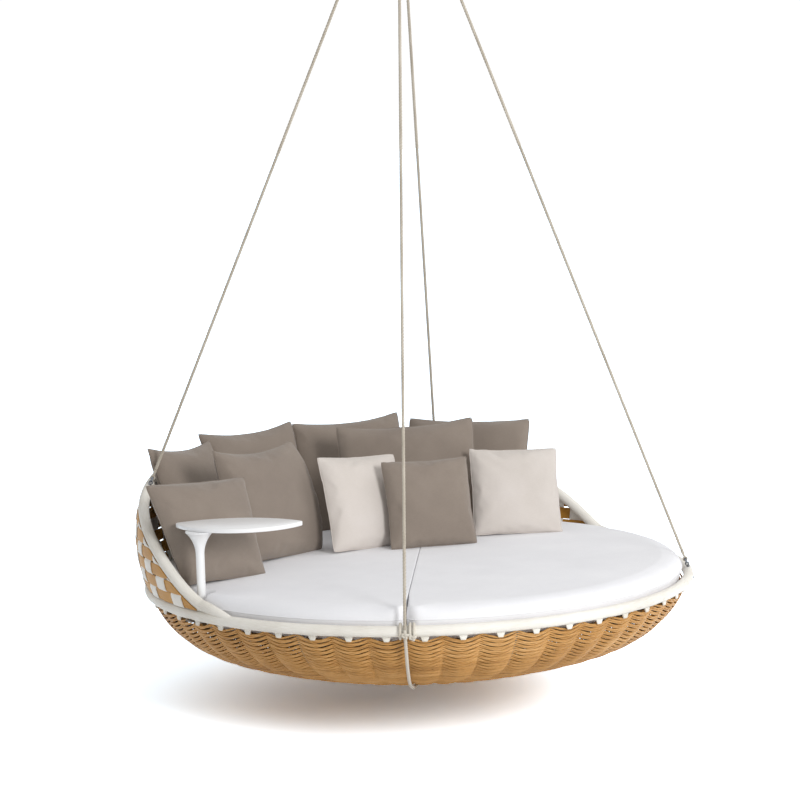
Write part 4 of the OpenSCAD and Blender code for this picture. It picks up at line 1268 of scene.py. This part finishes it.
def sling_line():
    """The rope leaves the ring on the line that touches both the ring and the bowl's side."""
    off = Vector((ring_r - side_c, -side_z))
    leave = degrees(atan2(-side_z, ring_r - side_c) - acos((side_arc + off_bowl - turn_r) / off.length))
    side = (arc(ring_r, 0, turn_r, degrees(lean) - 0.1, leave, 7)
            + arc(side_c, side_z, side_arc + off_bowl, leave, degrees(meet), 8)
            + arc(0, bottom_c, bottom_arc + off_bowl, degrees(meet), -90, 5)[1:])
    near = [ring_point(r, 225, z) for r, z in side]
    far = [ring_point(r, 45, z) for r, z in side[-2::-1]]
    return np.array(near + far)


def braid(path, radius, pitch, sides=12):
    def weave(s, a):
        return 0.0006 * (np.cos(4 * a + 2 * pi * s / pitch) * np.cos(4 * a - 2 * pi * s / pitch))
    return block(path, radius, sides, shape=weave)


line = sling_line()
fine = resampled(line, int(length_of(line) / 0.0026))
o = grid_mesh("braided_sling", [braid(fine, 0.0058, 0.011)])
finish_piece(o, sling_yarn, "rope", "sling_rope")
add_cord(line)
print("sling:", round(length_of(line), 3), "m,", len(line), "points,", len(o.data.polygons), "faces")

# %% Turns round the ring, and knots
def beside_ring(az, beside):
    """Directions outwards, along the ring and up, and the ring's middle, beside an angle."""
    mid = radians(az) + beside / ring_r
    out = np.array([cos(mid), sin(mid), 0])
    return out, np.array([-sin(mid), cos(mid), 0]), np.array([0, 0, 1]), ring_r * out + (0, 0, ring_z)


def ring_turn(az, beside, major=0.0244, minor=0.0049):
    """One turn of rope round the ring tube. Its last row joins the first."""
    out, _, up, ring = beside_ring(az, beside)
    a = np.linspace(0, 2 * pi, 60, endpoint=False)
    return braid(ring + major * swung(a, out, up), minor, 0.011, 10)[:2] + (True,)


def knot(az, beside, below, size=0.0105, cord_r=0.0042):
    """A tight overhand knot on the outer side of the ring, below its middle by an angle."""
    flat, along, up, ring = beside_ring(az, beside)
    out = flat * cos(below) - up * sin(below)
    up = np.cross(out, along)
    t = np.linspace(0, 2 * pi, 90, endpoint=False)
    p = np.array([np.sin(t) + 1.6 * np.sin(2 * t), np.cos(t) - 1.6 * np.cos(2 * t), -0.9 * np.sin(3 * t)])
    a, b, c = p[:, :, None] * size / 2.6
    path = ring + out * (wrap_r + 0.0085) + a * along + b * up + 0.6 * c * out
    return braid(path, cord_r, 0.009, 8)[:2] + (True,)


knots = {225: [knot(225, 0.000, 0.42), knot(225, 0.024, 0.75)], 45: []}
for az, end in ((225, "front"), (45, "back")):
    turns = [ring_turn(az, beside) for beside in (-0.016, 0.016, 0.029)]
    o = grid_mesh("tied_rope_" + end, turns + knots[az])
    finish_piece(o, sling_yarn, "rope", "rope_lashing_" + end)

# %% Bound ends of the other three ropes
def rope_end(low):
    """A small loop, and the binding that leads from it to the full width of the rope."""
    up = upward(low)
    az = atan2(low[1], low[0])
    out = np.cross([-sin(az), cos(az), 0], up)
    a = np.linspace(0, 2 * pi, 40, endpoint=False)
    eye = low + up * 0.048 + 0.0065 * swung(a, up, out)
    at = np.linspace(0.0545, 0.0798, 60)
    width = np.interp(at, at[[0, -1]], [0.0035, 0.0064]) + 0.0003 * np.cos(at / 0.0016 * 2 * pi)
    return [block(eye, 0.0031, 8, closed=True), block(low + at[:, None] * up, width, 12)]


ends = [part for name in foot if name != "rope_front_left" for part in rope_end(foot[name])]
finish_piece(grid_mesh("bound_rope_ends", ends), rope_yarn, "rope", "rope_tails")
print("rope ends:", len(ends) // 2)

# %% [markdown]
# ## Floor and light
# A white floor lies just under the bowl. The world is a soft white light all round.
# One lamp, in front on the right and above the bed, gives the direction. A wider one
# further to the side and higher up softens it. In the photograph the shadow under the
# bed is all that is left of the floor. So the camera sees the floor in a colour above
# 1 and a little cool, which makes it plain white where the lamps reach it.

# %% Floor, world and lamps
bed_z, floor_z = -2.7, -3.125
floor_seen, floor_true = (2.50, 2.84, 3.14), 0.85
world_seen, world_true = (1.05, 1.05, 1.05), 0.53


def for_camera(tree, seen, other):
    """seen for what the camera sees directly or mirrored, other for all other light."""
    ray = node(tree, "LightPath").outputs
    direct = sums(tree, "MAXIMUM", ray["Is Camera Ray"], ray["Is Glossy Ray"])
    direct = sums(tree, "MAXIMUM", direct, ray["Is Transmission Ray"])
    mix = tree.nodes.new("ShaderNodeMix")
    mix.data_type = "RGBA"
    tree.links.new(direct, mix.inputs["Factor"])
    mix.inputs[6].default_value = (other, other, other, 1)
    mix.inputs[7].default_value = (*seen, 1)
    return mix.outputs[2]


def white_floor():
    bpy.ops.mesh.primitive_plane_add(size=60, location=(0, 0, floor_z))
    floor = bpy.context.object
    floor.name = "floor"
    m, tree, shader = new_material("floor_white")
    feed(tree, shader, Base_Color=for_camera(tree, floor_seen, floor_true), Roughness=1, Specular_IOR_Level=0)
    wear(floor, m)
    return floor


def lamp(name, place, size, power):
    """A round lamp that looks at the bed."""
    data = with_values(bpy.data.lights.new(name, "AREA"), shape="DISK", size=size, energy=power)
    o = new_object(name, data)
    turn = (place - Vector((0, 0, bed_z))).to_track_quat("Z", "Y").to_euler()
    return with_values(o, location=place, rotation_euler=turn, visible_camera=False)


def white_world():
    world = bpy.data.worlds.new("studio")
    world.use_nodes = True
    tree = world.node_tree
    feed(tree, tree.nodes["Background"].inputs, Color=for_camera(tree, world_seen, world_true))
    scene.world = world


floor = white_floor()
white_world()
to_camera = (camera.matrix_world.translation * Vector((1, 1, 0))).normalized()
to_right = Vector((-to_camera.y, to_camera.x, 0))
key = lamp("key", to_camera * 7.2 + to_right * 5.0 + Vector((0, 0, 1.2)), 3.2, 455)
top = lamp("top", to_right * 6.4 - to_camera * 1.7 + Vector((0, 0, 3.4)), 6.4, 150)
